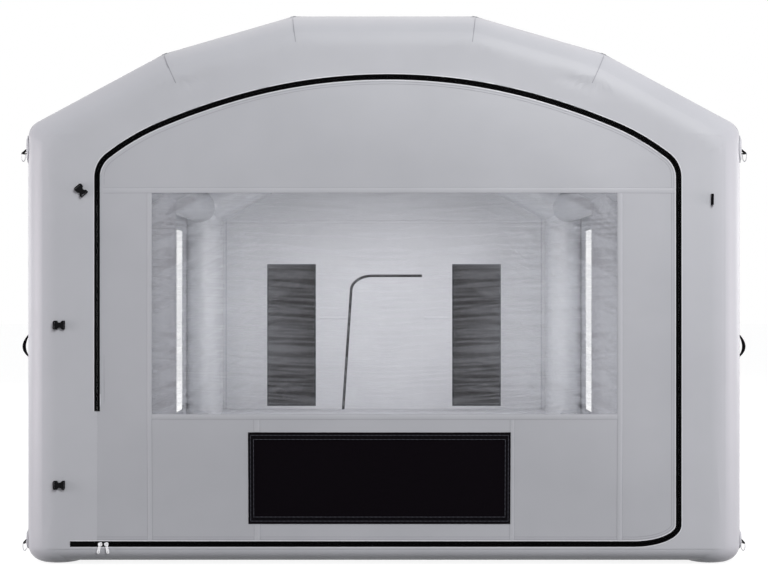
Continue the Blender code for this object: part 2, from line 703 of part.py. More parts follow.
def valve(material, cap_material, cutter):
    """The inflation valve: a flanged body with a bore, and its hinged cap."""
    out = Vector((math.sqrt(0.5), math.sqrt(0.5), 0))
    across = Vector((-out.y, out.x, 0))
    seat = Vector((ARCH_X, ARCH_Y, VALVE_HEIGHT)) + out * TUBE_RADIUS

    def local(u, v, h):
        return seat + across * u + Vector((0, 0, v)) + out * h

    sunk = -VALVE_FLANGE * 0.25
    profile = [(0, sunk), (VALVE_FLANGE, sunk), (VALVE_FLANGE, VALVE_FLOOR * 0.375),
               (VALVE_FLANGE * 0.9, VALVE_FLOOR * 0.75), (VALVE_NECK, VALVE_FLOOR),
               (VALVE_NECK, VALVE_RISE), (VALVE_BORE, VALVE_RISE), (VALVE_BORE, VALVE_FLOOR),
               (0, VALVE_FLOOR)]
    body = turned("valve_body", profile, 24, local, material)
    combine(body, cutter, "DIFFERENCE")
    inside = VALVE_NECK + CAP_PLAY
    rim, skirt = inside + CAP_WALL, VALVE_RISE - CAP_SKIRT
    under = VALVE_RISE + GAP
    top = under + CAP_WALL
    profile = [(0, under), (inside, under), (inside, skirt), (rim, skirt), (rim, top - CAP_WALL / 2),
               (rim - CAP_WALL / 2, top), (0, top)]
    cap = turned("valve_cap", profile, 24, local, cap_material, origin=local(0, rim + CAP_PLAY, skirt))
    return body, cap


def build():
    clear_scene()
    tube_fabric = make_material("tube_fabric", (0.55, 0.55, 0.57), 0.45)
    sheet_fabric = make_material("sheet_fabric", (0.47, 0.48, 0.50), 0.5)
    floor_fabric = make_material("floor_fabric", (0.30, 0.31, 0.33), 0.6)
    clear_film = make_material("clear_film", (0.85, 0.88, 0.92), 0.1)
    black_fabric = make_material("black_fabric", (0.01, 0.01, 0.012), 0.7)
    filter_fleece = make_material("filter_fleece", (0.008, 0.008, 0.009), 0.95)
    black_plastic = make_material("black_plastic", (0.012, 0.012, 0.014), 0.4)
    zip_metal = make_material("zip_metal", (0.75, 0.75, 0.76), 0.25, 1.0)
    ring_steel = make_material("ring_steel", (0.6, 0.6, 0.62), 0.3, 1.0)
    patch_fabric = make_material("patch_fabric", (0.52, 0.52, 0.54), 0.5)

    cutters = {}
    for name, y in (("front", -ARCH_Y), ("middle", 0.0), ("rear", ARCH_Y)):
        loft(f"arch_{name}", arch_rings(y), tube_fabric)
        cutters[name] = loft(f"cut_arch_{name}", arch_rings(y, GAP), tube_fabric)

    slope = Vector((WIDTH / 2 - TOP_PANEL / 2 - UPPER_RUN, -LOWER_DROP)).normalized()
    outward = Vector((-slope.y, slope.x))
    corner = BEAM_RADIUS / math.cos(math.pi / TUBE_SIDES)
    shoulder_z = EAVE_HEIGHT + ((WIDTH / 2 - BEAM_X) * outward.x - corner - RIND) / outward.y
    for bay, low, high in (("front", -ARCH_Y, 0.0), ("rear", 0.0, ARCH_Y)):
        for label, side in (("left", -1), ("right", 1)):
            for level, z in (("shoulder", shoulder_z), ("ground", BEAM_Z)):
                start = (side * BEAM_X, low + BEAM_SETBACK, z)
                end = (side * BEAM_X, high - BEAM_SETBACK, z)
                air_beam(f"{level}_beam_{label}_{bay}", start, end, BEAM_RADIUS,
                         [cutters[bay], cutters["middle"]], tube_fabric)
    reach = ARCH_X - BEAM_SETBACK
    air_beam("ground_beam_back", (-reach, BEAM_Y, BEAM_Z), (reach, BEAM_Y, BEAM_Z), BEAM_RADIUS,
             [cutters["rear"]], tube_fabric)
    air_beam("sill_tube", (-reach, SILL_Y, SILL_Z), (reach, SILL_Y, SILL_Z), SILL_RADIUS,
             [cutters["front"]], tube_fabric)

    roof = [[(o, -ARCH_Y), (i, -ARCH_Y), (i, ARCH_Y), (o, ARCH_Y)]
            for o, i in zip(roof_line(0, ROOF_HEM), roof_line(SHEET, ROOF_HEM))]
    loft("roof_skin", [[Vector((p.x, y, p.y)) for p, y in ring] for ring in roof],
         sheet_fabric, smooth=False)

    bays = {"front": (-ARCH_Y + TUBE_RADIUS + SIDE_WINDOW_END, -TUBE_RADIUS - SIDE_WINDOW_END),
            "rear": (TUBE_RADIUS + SIDE_WINDOW_END, ARCH_Y - TUBE_RADIUS - SIDE_WINDOW_END)}
    sill, head = BEAM_Z + SIDE_WINDOW_RISE, ROOF_HEM - SIDE_WINDOW_BELOW_HEM
    for label, side in (("left", -1), ("right", 1)):
        holes = [rectangle(low, high, sill, head) for low, high in bays.values()]
        plate(f"side_wall_{label}", [rectangle(-ARCH_Y, ARCH_Y, BEAM_Z, ROOF_HEM - GAP)] + holes,
              on_side(side), 0, SHEET, sheet_fabric)
        for bay, (low, high) in bays.items():
            plate(f"side_window_{label}_{bay}",
                  [rectangle(low - FILM_LAP, high + FILM_LAP, sill - FILM_LAP, head + FILM_LAP)],
                  on_side(side), RIND, RIND + FILM, clear_film)

    plate("floor_sheet", [grown((-BEAM_X, BEAM_X, SILL_Y, BEAM_Y), FLOOR_LAP)],
          lambda u, v, w: Vector((u, v, w)), 0, SHEET, floor_fabric)

    front_door(sheet_fabric, clear_film, black_fabric, filter_fleece, zip_metal)
    back_door(sheet_fabric, black_fabric, filter_fleece, zip_metal)

    places = (("top", BUCKLE_INSET_TOP, BUCKLE_TURN_TOP), ("middle", BUCKLE_INSET, 0.0),
              ("bottom", BUCKLE_INSET, 0.0))
    for (name, inset, turn), z in zip(places, BUCKLE_HEIGHTS):
        buckle(name, inset - ARCH_X, z, turn, black_plastic)
    webbing_loop("webbing_loop", black_fabric)
    for label, side in (("left", -1), ("right", 1)):
        carrying_handle(f"handle_{label}", side, black_fabric)
        wall = plate(f"cut_wall_{label}", [rectangle(-ARCH_Y - GAP, 0, 0, HEIGHT)], on_side(side),
                     -GAP, 2 * ARCH_DEPTH, sheet_fabric)
        for level, z, radius, out in (("high", ANCHOR_HIGH, PATCH_RADIUS_HIGH, RING_OUT_HIGH),
                                      ("low", ANCHOR_LOW, PATCH_RADIUS_LOW, RING_OUT_LOW)):
            anchor(f"{label}_{level}", side, z, radius, out, [cutters["front"], wall],
                   patch_fabric, ring_steel)
    valve(black_plastic, black_plastic, cutters["rear"])


def front_door(sheet_fabric, clear_film, black_fabric, filter_fleece, zip_metal):
    """The front wall, its big door and everything on them."""
    path = front_door_path()
    rim = roof_line(ARCH_DEPTH, SILL_Z)
    plate("front_wall", [rim, offset_path(path, -GAP / 2, closed=True)], on_front, 0, SHEET, sheet_fabric)

    hinge = bpy.data.objects.new("front_door_hinge", None)
    hinge.location = on_front(DOOR_LEFT, DOOR_BOTTOM, -CHAIN_TOP)
    bpy.context.collection.objects.link(hinge)
    filter_low = DOOR_BOTTOM + FRONT_FILTER_RISE
    filter_high = filter_low + FRONT_FILTER_HEIGHT
    left = FRONT_FILTER_CENTRE - FRONT_FILTER_WIDTH / 2
    right = FRONT_FILTER_CENTRE + FRONT_FILTER_WIDTH / 2
    glass = (DOOR_LEFT + WINDOW_MARGIN_LEFT, DOOR_RIGHT - WINDOW_MARGIN_RIGHT,
             filter_high + WINDOW_RAIL, DOOR_CROWN - WINDOW_BELOW_CROWN)
    opening = (left + FILTER_BORDER, right - FILTER_BORDER,
               filter_low + FRONT_BORDER_HEIGHT, filter_high - FRONT_BORDER_HEIGHT)
    holes = [rectangle(*glass), grown(opening, FILTER_LAP + GAP)]
    plate("front_door", [offset_path(path, GAP / 2, closed=True)] + holes,
          on_front, 0, SHEET, sheet_fabric, origin=hinge.location, parent=hinge)
    plate("front_window", [grown(glass, FILM_LAP)], on_front, RIND, RIND + FILM, clear_film, parent=hinge)
    plate("front_filter_frame", [rectangle(left, right, filter_low, filter_high), rectangle(*opening)],
          on_front, -GAP - BORDER_THICKNESS, -GAP, black_fabric, parent=hinge)
    plate("front_filter_pad", [grown(opening, FILTER_LAP)], on_front, 0, PAD_THICKNESS, filter_fleece,
          parent=hinge)
    zip_tape("front_zip_door_tape", path, 1, on_front, black_fabric, parent=hinge)
    zip_tape("front_zip_wall_tape", path, -1, on_front, black_fabric, tail=ZIP_TAIL)
    for i, (label, splay) in enumerate((("left", -PULL_SPLAY), ("right", PULL_SPLAY))):
        spot = (DOOR_LEFT + SLIDER_INSET + i * SLIDER_SPACING, DOOR_BOTTOM)
        slider = zip_slider(f"front_slider_{label}", spot, (1, 0), on_front, zip_metal, hinge)
        zip_pull(f"front_pull_{label}", spot, splay, on_front, zip_metal, slider)


def back_door(sheet_fabric, black_fabric, filter_fleece, zip_metal):
    """The back wall with its small door and two filters."""
    path = back_door_path()
    low = BEAM_Z + BACK_FILTER_RISE
    high = low + BACK_FILTER_HEIGHT
    half = BACK_FILTER_WIDTH / 2
    filters = {label: (side * BACK_FILTER_OFFSET - half, side * BACK_FILTER_OFFSET + half, low, high)
               for label, side in (("left", -1), ("right", 1))}
    inset = FILTER_BORDER - FILTER_LAP
    plate("back_wall", [roof_line(ARCH_DEPTH, BEAM_Z), offset_path(path, -GAP / 2, closed=True)]
          + [grown(box, GAP - inset) for box in filters.values()], on_back, 0, SHEET, sheet_fabric)
    for label, box in filters.items():
        panel = plate(f"back_filter_{label}", [grown(box, -inset)], on_back, -GAP * 2, PAD_THICKNESS,
                      filter_fleece)
        frame = plate(f"join_frame_{label}", [rectangle(*box), grown(box, -FILTER_BORDER)], on_back,
                      -GAP - BORDER_THICKNESS, -GAP, black_fabric)
        combine(panel, frame, "UNION")

    hinge = bpy.data.objects.new("back_door_hinge", None)
    hinge.location = on_back(BACK_DOOR_HINGE_X, path[0].y, -CHAIN_TOP)
    bpy.context.collection.objects.link(hinge)
    plate("back_door", [offset_path(path, GAP / 2, closed=True)], on_back, 0, SHEET, sheet_fabric,
          origin=hinge.location, parent=hinge)
    zip_tape("back_zip_door_tape", path, 1, on_back, black_fabric, parent=hinge)
    zip_tape("back_zip_wall_tape", path, -1, on_back, black_fabric)
    along = Vector((BACK_DOOR_LEAN, BACK_DOOR_HEIGHT)).normalized()
    spot = path[1] + along * BACK_SLIDER_UP
    slider = zip_slider("back_slider", spot, along, on_back, zip_metal, hinge)
    zip_pull("back_pull", spot, 0.0, on_back, zip_metal, slider)


build()
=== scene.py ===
# %% [markdown]
# # An inflatable paint booth
#
# A grey inflatable paint booth stands on three air-filled arches. Coated cloth is welded over
# them, and nearly the whole front wall is one zipped door with a clear window and a black filter.
#
# The imported solids are the frame of this scene: they give every size, place and joint. They could
# be shown as they are, but faceted solids can't be thin, slack or woven. So the cells below dress
# them in cloth, film, webbing, plastic and steel, and each new piece rides on its solid's body.

# %% Load the frame
import math

import bmesh
import bpy
from mathutils import Matrix, Vector, noise


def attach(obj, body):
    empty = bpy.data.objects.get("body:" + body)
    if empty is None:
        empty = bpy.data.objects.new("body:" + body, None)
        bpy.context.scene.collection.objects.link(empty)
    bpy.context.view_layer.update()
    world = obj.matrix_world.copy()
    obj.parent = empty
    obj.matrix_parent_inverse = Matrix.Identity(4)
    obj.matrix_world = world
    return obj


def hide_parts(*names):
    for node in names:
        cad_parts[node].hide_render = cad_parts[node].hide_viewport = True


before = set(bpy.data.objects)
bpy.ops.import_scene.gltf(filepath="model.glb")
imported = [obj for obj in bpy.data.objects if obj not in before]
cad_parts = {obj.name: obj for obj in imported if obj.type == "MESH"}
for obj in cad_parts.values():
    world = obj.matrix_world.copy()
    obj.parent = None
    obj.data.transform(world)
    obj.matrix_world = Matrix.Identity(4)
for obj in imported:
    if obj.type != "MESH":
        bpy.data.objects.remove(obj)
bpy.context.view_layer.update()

# %% [markdown]
# ## Sizes
#
# The booth's own sizes, in metres, as the solids have them. They could be typed in each piece,
# but most pieces share them, so they are written once, here. The front wall is the plane y = -4,
# the back wall y = +4, and the tubes stand 2.3 mm inside the sheets that cover them.

# %% Sizes of the air frame
LENGTH, WIDTH, HEIGHT = 8.0, 4.0, 3.06
TOP_PANEL, UPPER_RUN, UPPER_DROP, LOWER_DROP = 1.024, 0.724, 0.210, 0.411
EAVE_HEIGHT = HEIGHT - UPPER_DROP - LOWER_DROP
HEM_DROP = 0.139
ROOF_HEM = EAVE_HEIGHT - HEM_DROP
GAP = 0.0003
RIND = 0.002 + GAP
TUBE, BEAM, SILL = 0.18, 0.15, 0.09
ARCH_DEPTH = RIND + TUBE
ARCH_X, ARCH_Y = WIDTH / 2 - ARCH_DEPTH, LENGTH / 2 - ARCH_DEPTH
BEAM_X, BEAM_Y = WIDTH / 2 - RIND - BEAM, LENGTH / 2 - RIND - BEAM
BEAM_Z, SILL_Z = RIND + BEAM, RIND + SILL
SILL_Y = -LENGTH / 2 + RIND + SILL
FOOT_ROUNDING = 0.097
print("arch centres", round(ARCH_X, 4), round(ARCH_Y, 4))

# %% Sizes of the front door and its fittings
# A box is given as left, right, low and high.
DOOR_LEFT, DOOR_RIGHT, DOOR_BOTTOM, DOOR_CROWN = -1.5837, 1.6267, 0.1193, 2.6977
HINGE_TOP = DOOR_BOTTOM + 0.733
GLASS = (-1.2827, 1.2827, 0.8373, 2.0567)
FILTER = (-0.748, 0.697, 0.2303, 0.7383)
TAPE, CHAIN, CHAIN_TOP = 0.0155, 0.0035, 0.0038
ZIP_TAIL = 0.149
print("door", round(DOOR_RIGHT - DOOR_LEFT, 3), "by", round(DOOR_CROWN - DOOR_BOTTOM, 3))

# %% [markdown]
# ## The camera
#
# The photograph is taken straight on. The camera could be turned until the picture looks right,
# but two facts give its place. The height where the sides of the booth seem level is the eye's,
# 1.53 m above the ground, and the size of the far columns through the window gives the distance,
# 9.3 m from the front wall.

# %% Make the camera
EYE_DISTANCE, EYE_HEIGHT = 9.31, 1.527
eye = bpy.data.cameras.new("camera")
eye.lens, eye.sensor_width = 79.07, 36
camera = bpy.data.objects.new("camera", eye)
camera.location = (0, -LENGTH / 2 - EYE_DISTANCE, EYE_HEIGHT)
camera.rotation_euler = (math.radians(90), 0, 0)
bpy.context.collection.objects.link(camera)
bpy.context.scene.camera = camera
bpy.context.scene.view_settings.view_transform = "Standard"
print("camera at", [round(v, 2) for v in camera.location])

# %% [markdown]
# ## Colour and node helpers
#
# Colours are written as a screen shows them and turned to linear light by one function. Nodes
# could be placed by hand in Blender's shader editor. Here one small function adds a node, sets
# what is named and links what is given, so a material reads from top to bottom.

# %% Turn a screen colour to linear light
def linear(code):
    channels = [int(code[i:i + 2], 16) / 255 for i in (0, 2, 4)]
    light = [c / 12.92 if c <= 0.04045 else ((c + 0.055) / 1.055) ** 2.4 for c in channels]
    return tuple(light) + (1.0,)


# %% Add a node with its settings and its links
def add(tree, kind, settings=(), **sockets):
    """Sockets are named with _ for a blank, or _0, _1 and so on for their place in the row."""
    node = tree.nodes.new(kind)
    for key, value in dict(settings).items():
        setattr(node, key, value)
    for key, value in sockets.items():
        socket = node.inputs[int(key[1:])] if key[0] == "_" else node.inputs[key.replace("_", " ")]
        if isinstance(value, bpy.types.NodeSocket):
            tree.links.new(value, socket)
        else:
            socket.default_value = value
    return node


# %% Start a material and find its shader
def begin(name):
    material = bpy.data.materials.new(name)
    material.use_nodes = True
    tree = material.node_tree
    return material, tree, tree.nodes["Principled BSDF"]


# %% Draw a colour ramp between two screen colours
def tones(tree, value, low, high, start=0.35, end=0.65):
    ramp = add(tree, "ShaderNodeValToRGB", _0=value)
    ends = ramp.color_ramp.elements
    ends[0].position, ends[0].color = start, linear(low)
    ends[1].position, ends[1].color = end, linear(high)
    return ramp.outputs[0]


# %% [markdown]
# ## The white surroundings
#
# A product shot on white. The background could be lit until it is white, but that light would
# fall on the booth too. So only rays that come straight from the camera, off a shiny surface or
# through film see white, and all other rays find a low, even, slightly blue world.

# %% Tell rays that look from rays that light
def looking(tree):
    """1 for a ray from the camera, off a shiny surface or through film, and 0 for any other."""
    path = add(tree, "ShaderNodeLightPath")
    seen = add(tree, "ShaderNodeMath", {"operation": "MAXIMUM"},
               _0=path.outputs["Is Camera Ray"], _1=path.outputs["Is Glossy Ray"])
    seen = add(tree, "ShaderNodeMath", {"operation": "MAXIMUM"},
               _0=seen.outputs[0], _1=path.outputs["Is Transmission Ray"])
    return seen.outputs[0]


# %% Light the world
world = bpy.data.worlds.new("studio")
bpy.context.scene.world = world
world.use_nodes = True
sky = world.node_tree
seen = looking(sky)
soft = sky.nodes["Background"]
soft.inputs[0].default_value, soft.inputs[1].default_value = linear("f4f6fa"), 0.36
white = add(sky, "ShaderNodeBackground", Color=(1, 1, 1, 1), Strength=1.0)
both = add(sky, "ShaderNodeMixShader", _0=seen, _1=soft.outputs[0], _2=white.outputs[0])
sky.links.new(both.outputs[0], sky.nodes["World Output"].inputs[0])
print("world nodes", len(sky.nodes))

# %% [markdown]
# ## The lamps
#
# A sun would draw hard shadows, which soft cloth in a studio doesn't have, so every lamp is a wide
# panel. A broad one hangs high in front and a little to the right. A tall one beside each front
# column brightens the tube where it turns away, one hangs over the roof and one stands behind.
#
# The film shows the inside, so it needs its own light. One lamp hangs in each bay, the rear one
# narrowed to 80 degrees so that it lights the back wall alone. A lamp outside each rear window
# shines in past the rear column, as daylight does, and a slim faint one indoors, beside the
# middle arch, lights the column's outer side, which would else be too dark.

# %% Hang the soft lamps
def soft_lamp(name, place, aim, width, height, power, colour="ffffff"):
    lamp = bpy.data.lights.new(name, "AREA")
    lamp.shape, lamp.size, lamp.size_y, lamp.energy = "RECTANGLE", width, height, power
    lamp.color = linear(colour)[:3]
    holder = bpy.data.objects.new(name, lamp)
    holder.location = place
    holder.rotation_euler = (Vector(place) - Vector(aim)).to_track_quat("Z", "Y").to_euler()
    holder.visible_camera = holder.visible_transmission = False
    bpy.context.collection.objects.link(holder)
    return holder


soft_lamp("front_lamp", (3.2, -12, 7.5), (0, -4, 1.4), 5, 4, 868)
soft_lamp("left_lamp", (-7.5, -4.7, 1.2), (-2, -4, 1.1), 2.4, 3.4, 305, "fff8fb")
soft_lamp("right_lamp", (7.5, -4.8, 1.0), (2, -4, 0.9), 2.4, 2.8, 205, "fff6fa")
soft_lamp("roof_lamp", (0, 0, 9), (0, 0, 0), 8, 8, 200, "fff6f5")
soft_lamp("back_lamp", (-4, 13, 5), (0, 4, 1.4), 5, 4, 380)

# %% Hang the lamps for the inside
inside = soft_lamp("inside_lamp", (0, 0.35, 1.4), (0, 4, 1.5), 3.2, 1.5, 20)
inside.data.spread = math.radians(80)
soft_lamp("front_bay_lamp", (0, -3.4, 2.2), (0, 0, 1.3), 2.6, 0.6, 27)
for label, side, power in (("left", -1, 215), ("right", 1, 290)):
    soft_lamp(f"window_lamp_{label}", (side * 7.0, 0.5, 1.9), (side * 1.9, 3.8, 1.4), 2, 2.4, power)
    flank = soft_lamp(f"flank_lamp_{label}", (side * 1.35, 0.7, 1.4), (side * 1.95, 3.8, 1.4),
                      0.25, 1.8, 1.1)
    flank.data.spread = math.radians(30)
print("lamps", len(bpy.data.lights))

# %% [markdown]
# ## The floor
#
# The booth stands on white studio paper. Paper that is itself white would throw much light up at
# the cloth. So its own colour is a mid grey, and a glow that only looking rays see lifts it to
# white. The booth's shadow still darkens it, because the glow is added to the light it gets.

# %% Lay the floor
bpy.ops.mesh.primitive_plane_add(size=120, location=(0, 0, -0.0006))
floor = bpy.context.object
floor.name = "studio_floor"
paper, tree, shader = begin("white studio floor")
shader.inputs["Base Color"].default_value = linear("828282")
shader.inputs["Roughness"].default_value = 0.9
shader.inputs["Specular IOR Level"].default_value = 0.1
share = add(tree, "ShaderNodeMath", {"operation": "MULTIPLY"}, _0=looking(tree), _1=0.87)
glow = add(tree, "ShaderNodeEmission", Color=(1, 1, 1, 1), Strength=share.outputs[0])
both = add(tree, "ShaderNodeAddShader", _0=shader.outputs[0], _1=glow.outputs[0])
tree.links.new(both.outputs[0], tree.nodes["Material Output"].inputs[0])
floor.data.materials.append(paper)
print("floor", floor.dimensions.x, "m wide")


# %% [markdown]
# ## Coated cloth
#
# The booth is welded from polyester cloth coated with PVC. Its surface is smooth and dull with a
# faint gloss, a fine weave shows through the coating, and slack cloth has broad soft creases.
# A picture of cloth could be wrapped round each sheet, but it would need seams and would repeat.
# Noise in the booth's own space runs on over every sheet without either.

# %% PVC-coated polyester
def coated_polyester(name, low, high, roughness=0.46, crease=0.25):
    material, tree, shader = begin(name)
    where = add(tree, "ShaderNodeTexCoord").outputs["Object"]
    # Cloth darkens and lightens a little over half a metre, as handling and folding leave it.
    cloud = add(tree, "ShaderNodeTexNoise", Vector=where, Scale=1.7, Detail=3.0, Roughness=0.6)
    tree.links.new(tones(tree, cloud.outputs[0], low, high), shader.inputs["Base Color"])
    # Creases from packing run about 0.3 m apart. The real threads lie 1 mm apart, too fine to
    # show, so the weave is drawn at 6 mm.
    fold = add(tree, "ShaderNodeTexNoise", Vector=where, Scale=3.2, Detail=2.0, Roughness=0.45,
               Distortion=0.6)
    thread = add(tree, "ShaderNodeTexVoronoi", {"feature": "F1", "distance": "CHEBYCHEV"},
                 Vector=where, Scale=1000 / 6, Randomness=0.25)
    bump = add(tree, "ShaderNodeBump", Height=fold.outputs[0], Strength=crease, Distance=0.02)
    bump = add(tree, "ShaderNodeBump", Height=thread.outputs[0], Normal=bump.outputs[0],
               Strength=0.04, Distance=0.001)
    tree.links.new(bump.outputs[0], shader.inputs["Normal"])
    shader.inputs["Roughness"].default_value = roughness
    shader.inputs["IOR"].default_value = 1.5
    shader.inputs["Specular IOR Level"].default_value = 0.35
    return material


# %% The booth's cloths
# Air pulls the tubes smooth. The door and back hang looser, so they crease more, and their cloth is
# painted a little darker than the tubes' as painted shade.
tube_cloth = coated_polyester("PVC-coated polyester, tubes and walls", "b1b2b7", "b5b6bb", crease=0.08)
wall_cloth = coated_polyester("PVC-coated polyester, door and back", "a9aaaf", "adaeb3", crease=0.14)
# Welding irons the coating flat, and the lap is painted a shade lighter as painted sheen. The thin darker
# cloth below is painted shadow, drawn along the edges of welds and hems and beside the rear columns.
seam_cloth = coated_polyester("PVC-coated polyester, welded lap", "acadb2", "b0b1b6",
                              roughness=0.4, crease=0.06)
# This cloth is painted shadow, for thin dark lines where an edge shades the cloth.
seam_shadow = coated_polyester("PVC-coated polyester, painted shadow line", "919197", "97979e",
                             roughness=0.5, crease=0.0)
floor_cloth = coated_polyester("PVC tarpaulin, floor", "77797e", "82848a", roughness=0.55)
edge_tape = coated_polyester("PVC edge tape", "cdcdd2", "d4d4d8", roughness=0.35, crease=0.0)
print("nodes in a cloth", len(tube_cloth.node_tree.nodes))

# %% [markdown]
# ## Clear film
#
# The windows are clear PVC film, half a millimetre thick. It is never quite clear: rolling and
# folding leave a pale veil with fine whitish wisps in it, densest at the two sides where the
# rolled film is gripped. It could be made of glass that bends light, but a thin sheet hardly
# bends it, and glass renders with much grain. So the veil is a faint cover over plain view: wisps,
# drawn as thin ridges of a stretched noise, add to the cover, and the rest lets light through.

# %% Draw wisps along one direction
def wisps(tree, vector, angle, along, across, seed, spread=0.10):
    """Pale lines at an angle to level, 1 where a line runs and 0 between the lines."""
    turned = add(tree, "ShaderNodeVectorRotate", {"rotation_type": "Y_AXIS"},
                 Vector=vector, Angle=math.radians(angle))
    drawn = add(tree, "ShaderNodeMapping", Vector=turned.outputs[0], Location=(seed, 0, seed),
                Scale=(along, 1.0, across))
    cloud = add(tree, "ShaderNodeTexNoise", Vector=drawn.outputs[0], Scale=1.0, Detail=2.0,
                Roughness=0.5, Distortion=0.15)
    apart = add(tree, "ShaderNodeMath", {"operation": "SUBTRACT"}, _0=cloud.outputs[0], _1=0.5)
    apart = add(tree, "ShaderNodeMath", {"operation": "ABSOLUTE"}, _0=apart.outputs[0])
    line = add(tree, "ShaderNodeMapRange", Value=apart.outputs[0], From_Max=spread,
               To_Min=1.0, To_Max=0.0)
    return line.outputs[0]


# %% Clear PVC film
def clear_film(name, veil, streak, grip):
    material, tree, shader = begin(name)
    where = add(tree, "ShaderNodeTexCoord").outputs["Object"]
    # The film is rolled up from its lower edge, so the wisps lie level in the middle and fall
    # away towards both sides, the same on the left as on the right.
    part = add(tree, "ShaderNodeSeparateXYZ", Vector=where)
    aside = add(tree, "ShaderNodeMath", {"operation": "ABSOLUTE"}, _0=part.outputs[0])
    mirrored = add(tree, "ShaderNodeCombineXYZ", X=aside.outputs[0], Y=part.outputs[1],
                   Z=part.outputs[2]).outputs[0]
    outer = add(tree, "ShaderNodeMapRange", {"interpolation_type": "SMOOTHSTEP"},
                Value=aside.outputs[0], From_Min=0.25, From_Max=1.15).outputs[0]
    # A wisp is 0.5 to 1 m long. The level ones are 10 mm wide and the steepest 50 mm.
    level = wisps(tree, mirrored, 3, 1.2, 30.0, 0.0)
    steep = wisps(tree, mirrored, -46, 0.7, 7.0, 4.3, 0.16)
    gentle = wisps(tree, mirrored, -24, 0.9, 18.0, 9.1)
    aslant = add(tree, "ShaderNodeMath", {"operation": "ADD"}, _0=steep, _1=gentle)
    aslant = add(tree, "ShaderNodeMath", {"operation": "MULTIPLY"}, _0=aslant.outputs[0], _1=outer)
    total = add(tree, "ShaderNodeMath", {"operation": "ADD"}, _0=level, _1=aslant.outputs[0])
    # The broad haze under them changes over 0.3 m.
    haze = add(tree, "ShaderNodeMapping", Vector=mirrored, Scale=(1.2, 1.0, 3.5))
    haze = add(tree, "ShaderNodeTexNoise", Vector=haze.outputs[0], Scale=2.2, Detail=3.0,
               Roughness=0.5)
    total = add(tree, "ShaderNodeMath", {"operation": "MULTIPLY_ADD"},
                _0=haze.outputs[0], _1=1.6, _2=total.outputs[0])
    # Cover goes from the veil's to a full streak's, and grows by the grip towards the sides.
    held = add(tree, "ShaderNodeMath", {"operation": "MULTIPLY_ADD"}, _0=outer, _1=grip, _2=1.0)
    cover = add(tree, "ShaderNodeMapRange", Value=total.outputs[0], From_Min=0.5, From_Max=2.6,
                To_Min=veil, To_Max=streak)
    cover = add(tree, "ShaderNodeMath", {"operation": "MULTIPLY", "use_clamp": True},
                _0=cover.outputs[0], _1=held.outputs[0])
    tree.links.new(cover.outputs[0], shader.inputs["Alpha"])
    wave = add(tree, "ShaderNodeTexNoise", Vector=where, Scale=2.0, Detail=2.0)
    bump = add(tree, "ShaderNodeBump", Height=wave.outputs[0], Strength=0.3, Distance=0.01)
    tree.links.new(bump.outputs[0], shader.inputs["Normal"])
    shader.inputs["Base Color"].default_value = linear("c9ccd4")
    shader.inputs["Roughness"].default_value = 0.12
    shader.inputs["IOR"].default_value = 1.53
    return material


window_film = clear_film("clear PVC film, front window", 0.02, 0.135, 0.6)
side_film = clear_film("clear PVC film, side windows", 0.01, 0.05, 0.0)
print("nodes in a film", len(window_film.node_tree.nodes))

# %% [markdown]
# ## Webbing, zip tape and binding
#
# These are woven nylon, with ribs across them. Ribs could be modelled, but hundreds of metres of
# thread would tell the eye no more than a fine wave does that tilts the surface and varies its
# black. Nylon in a weave scatters light, so it hardly shines.

# %% Woven nylon for webbing and zip tape
def woven_nylon(name, low, high, ribs, shine):
    """A wave of this scale repeats every 628 / ribs mm. The real ribs lie 2 mm apart, too fine
    to show, so they are drawn 25 mm apart, and 38 mm on the webbing."""
    material, tree, shader = begin(name)
    where = add(tree, "ShaderNodeTexCoord").outputs["Object"]
    rib = add(tree, "ShaderNodeTexWave", {"bands_direction": "DIAGONAL"}, Vector=where,
              Scale=ribs, Distortion=0.6, Detail=1.0)
    tree.links.new(tones(tree, rib.outputs[1], low, high, 0.2, 0.9), shader.inputs["Base Color"])
    bump = add(tree, "ShaderNodeBump", Height=rib.outputs[1], Strength=0.35, Distance=0.0006)
    tree.links.new(bump.outputs[0], shader.inputs["Normal"])
    shader.inputs["Roughness"].default_value = 0.8
    shader.inputs["Specular IOR Level"].default_value = shine
    return material


zip_nylon = woven_nylon("woven nylon, zip tape", "020202", "050506", 25.0, 0.04)
webbing = woven_nylon("woven nylon, webbing", "040306", "0a080c", 50 / 3, 0.05)
piping = woven_nylon("woven nylon, grey binding", "35353b", "44444b", 25.0, 0.08)
print("wovens", zip_nylon.name, webbing.name, piping.name, sep=" | ")


# %% [markdown]
# ## Filter fibre
#
# A filter is a mat of crimped polyester fibre that catches paint. Single hairs could be grown on
# it, but they are 0.03 mm thick and can't be told apart. A rough noise gives the tufts that do
# show, and the mat swallows light, so it has nearly no shine. The back filters face the daylight
# of the windows, so their fibre is painted a warmer, greyer black, as painted light.

# %% Matted polyester fibre for the filters
def filter_fibre(name, low, high):
    material, tree, shader = begin(name)
    where = add(tree, "ShaderNodeTexCoord").outputs["Object"]
    # The tufts are about 4 mm wide.
    hair = add(tree, "ShaderNodeTexNoise", Vector=where, Scale=260, Detail=4.0, Roughness=0.7,
               Distortion=1.5)
    tree.links.new(tones(tree, hair.outputs[0], low, high), shader.inputs["Base Color"])
    bump = add(tree, "ShaderNodeBump", Height=hair.outputs[0], Strength=0.5, Distance=0.002)
    tree.links.new(bump.outputs[0], shader.inputs["Normal"])
    shader.inputs["Roughness"].default_value = 0.95
    shader.inputs["Specular IOR Level"].default_value = 0.05
    return material


front_fibre = filter_fibre("matted polyester fibre, front filter", "060407", "0c080d")
# The back filters' greyer black is painted light from the windows.
back_fibre = filter_fibre("matted polyester fibre, back filters", "120e0d", "1d1917")
print("fibres", front_fibre.name, back_fibre.name, sep=" | ")


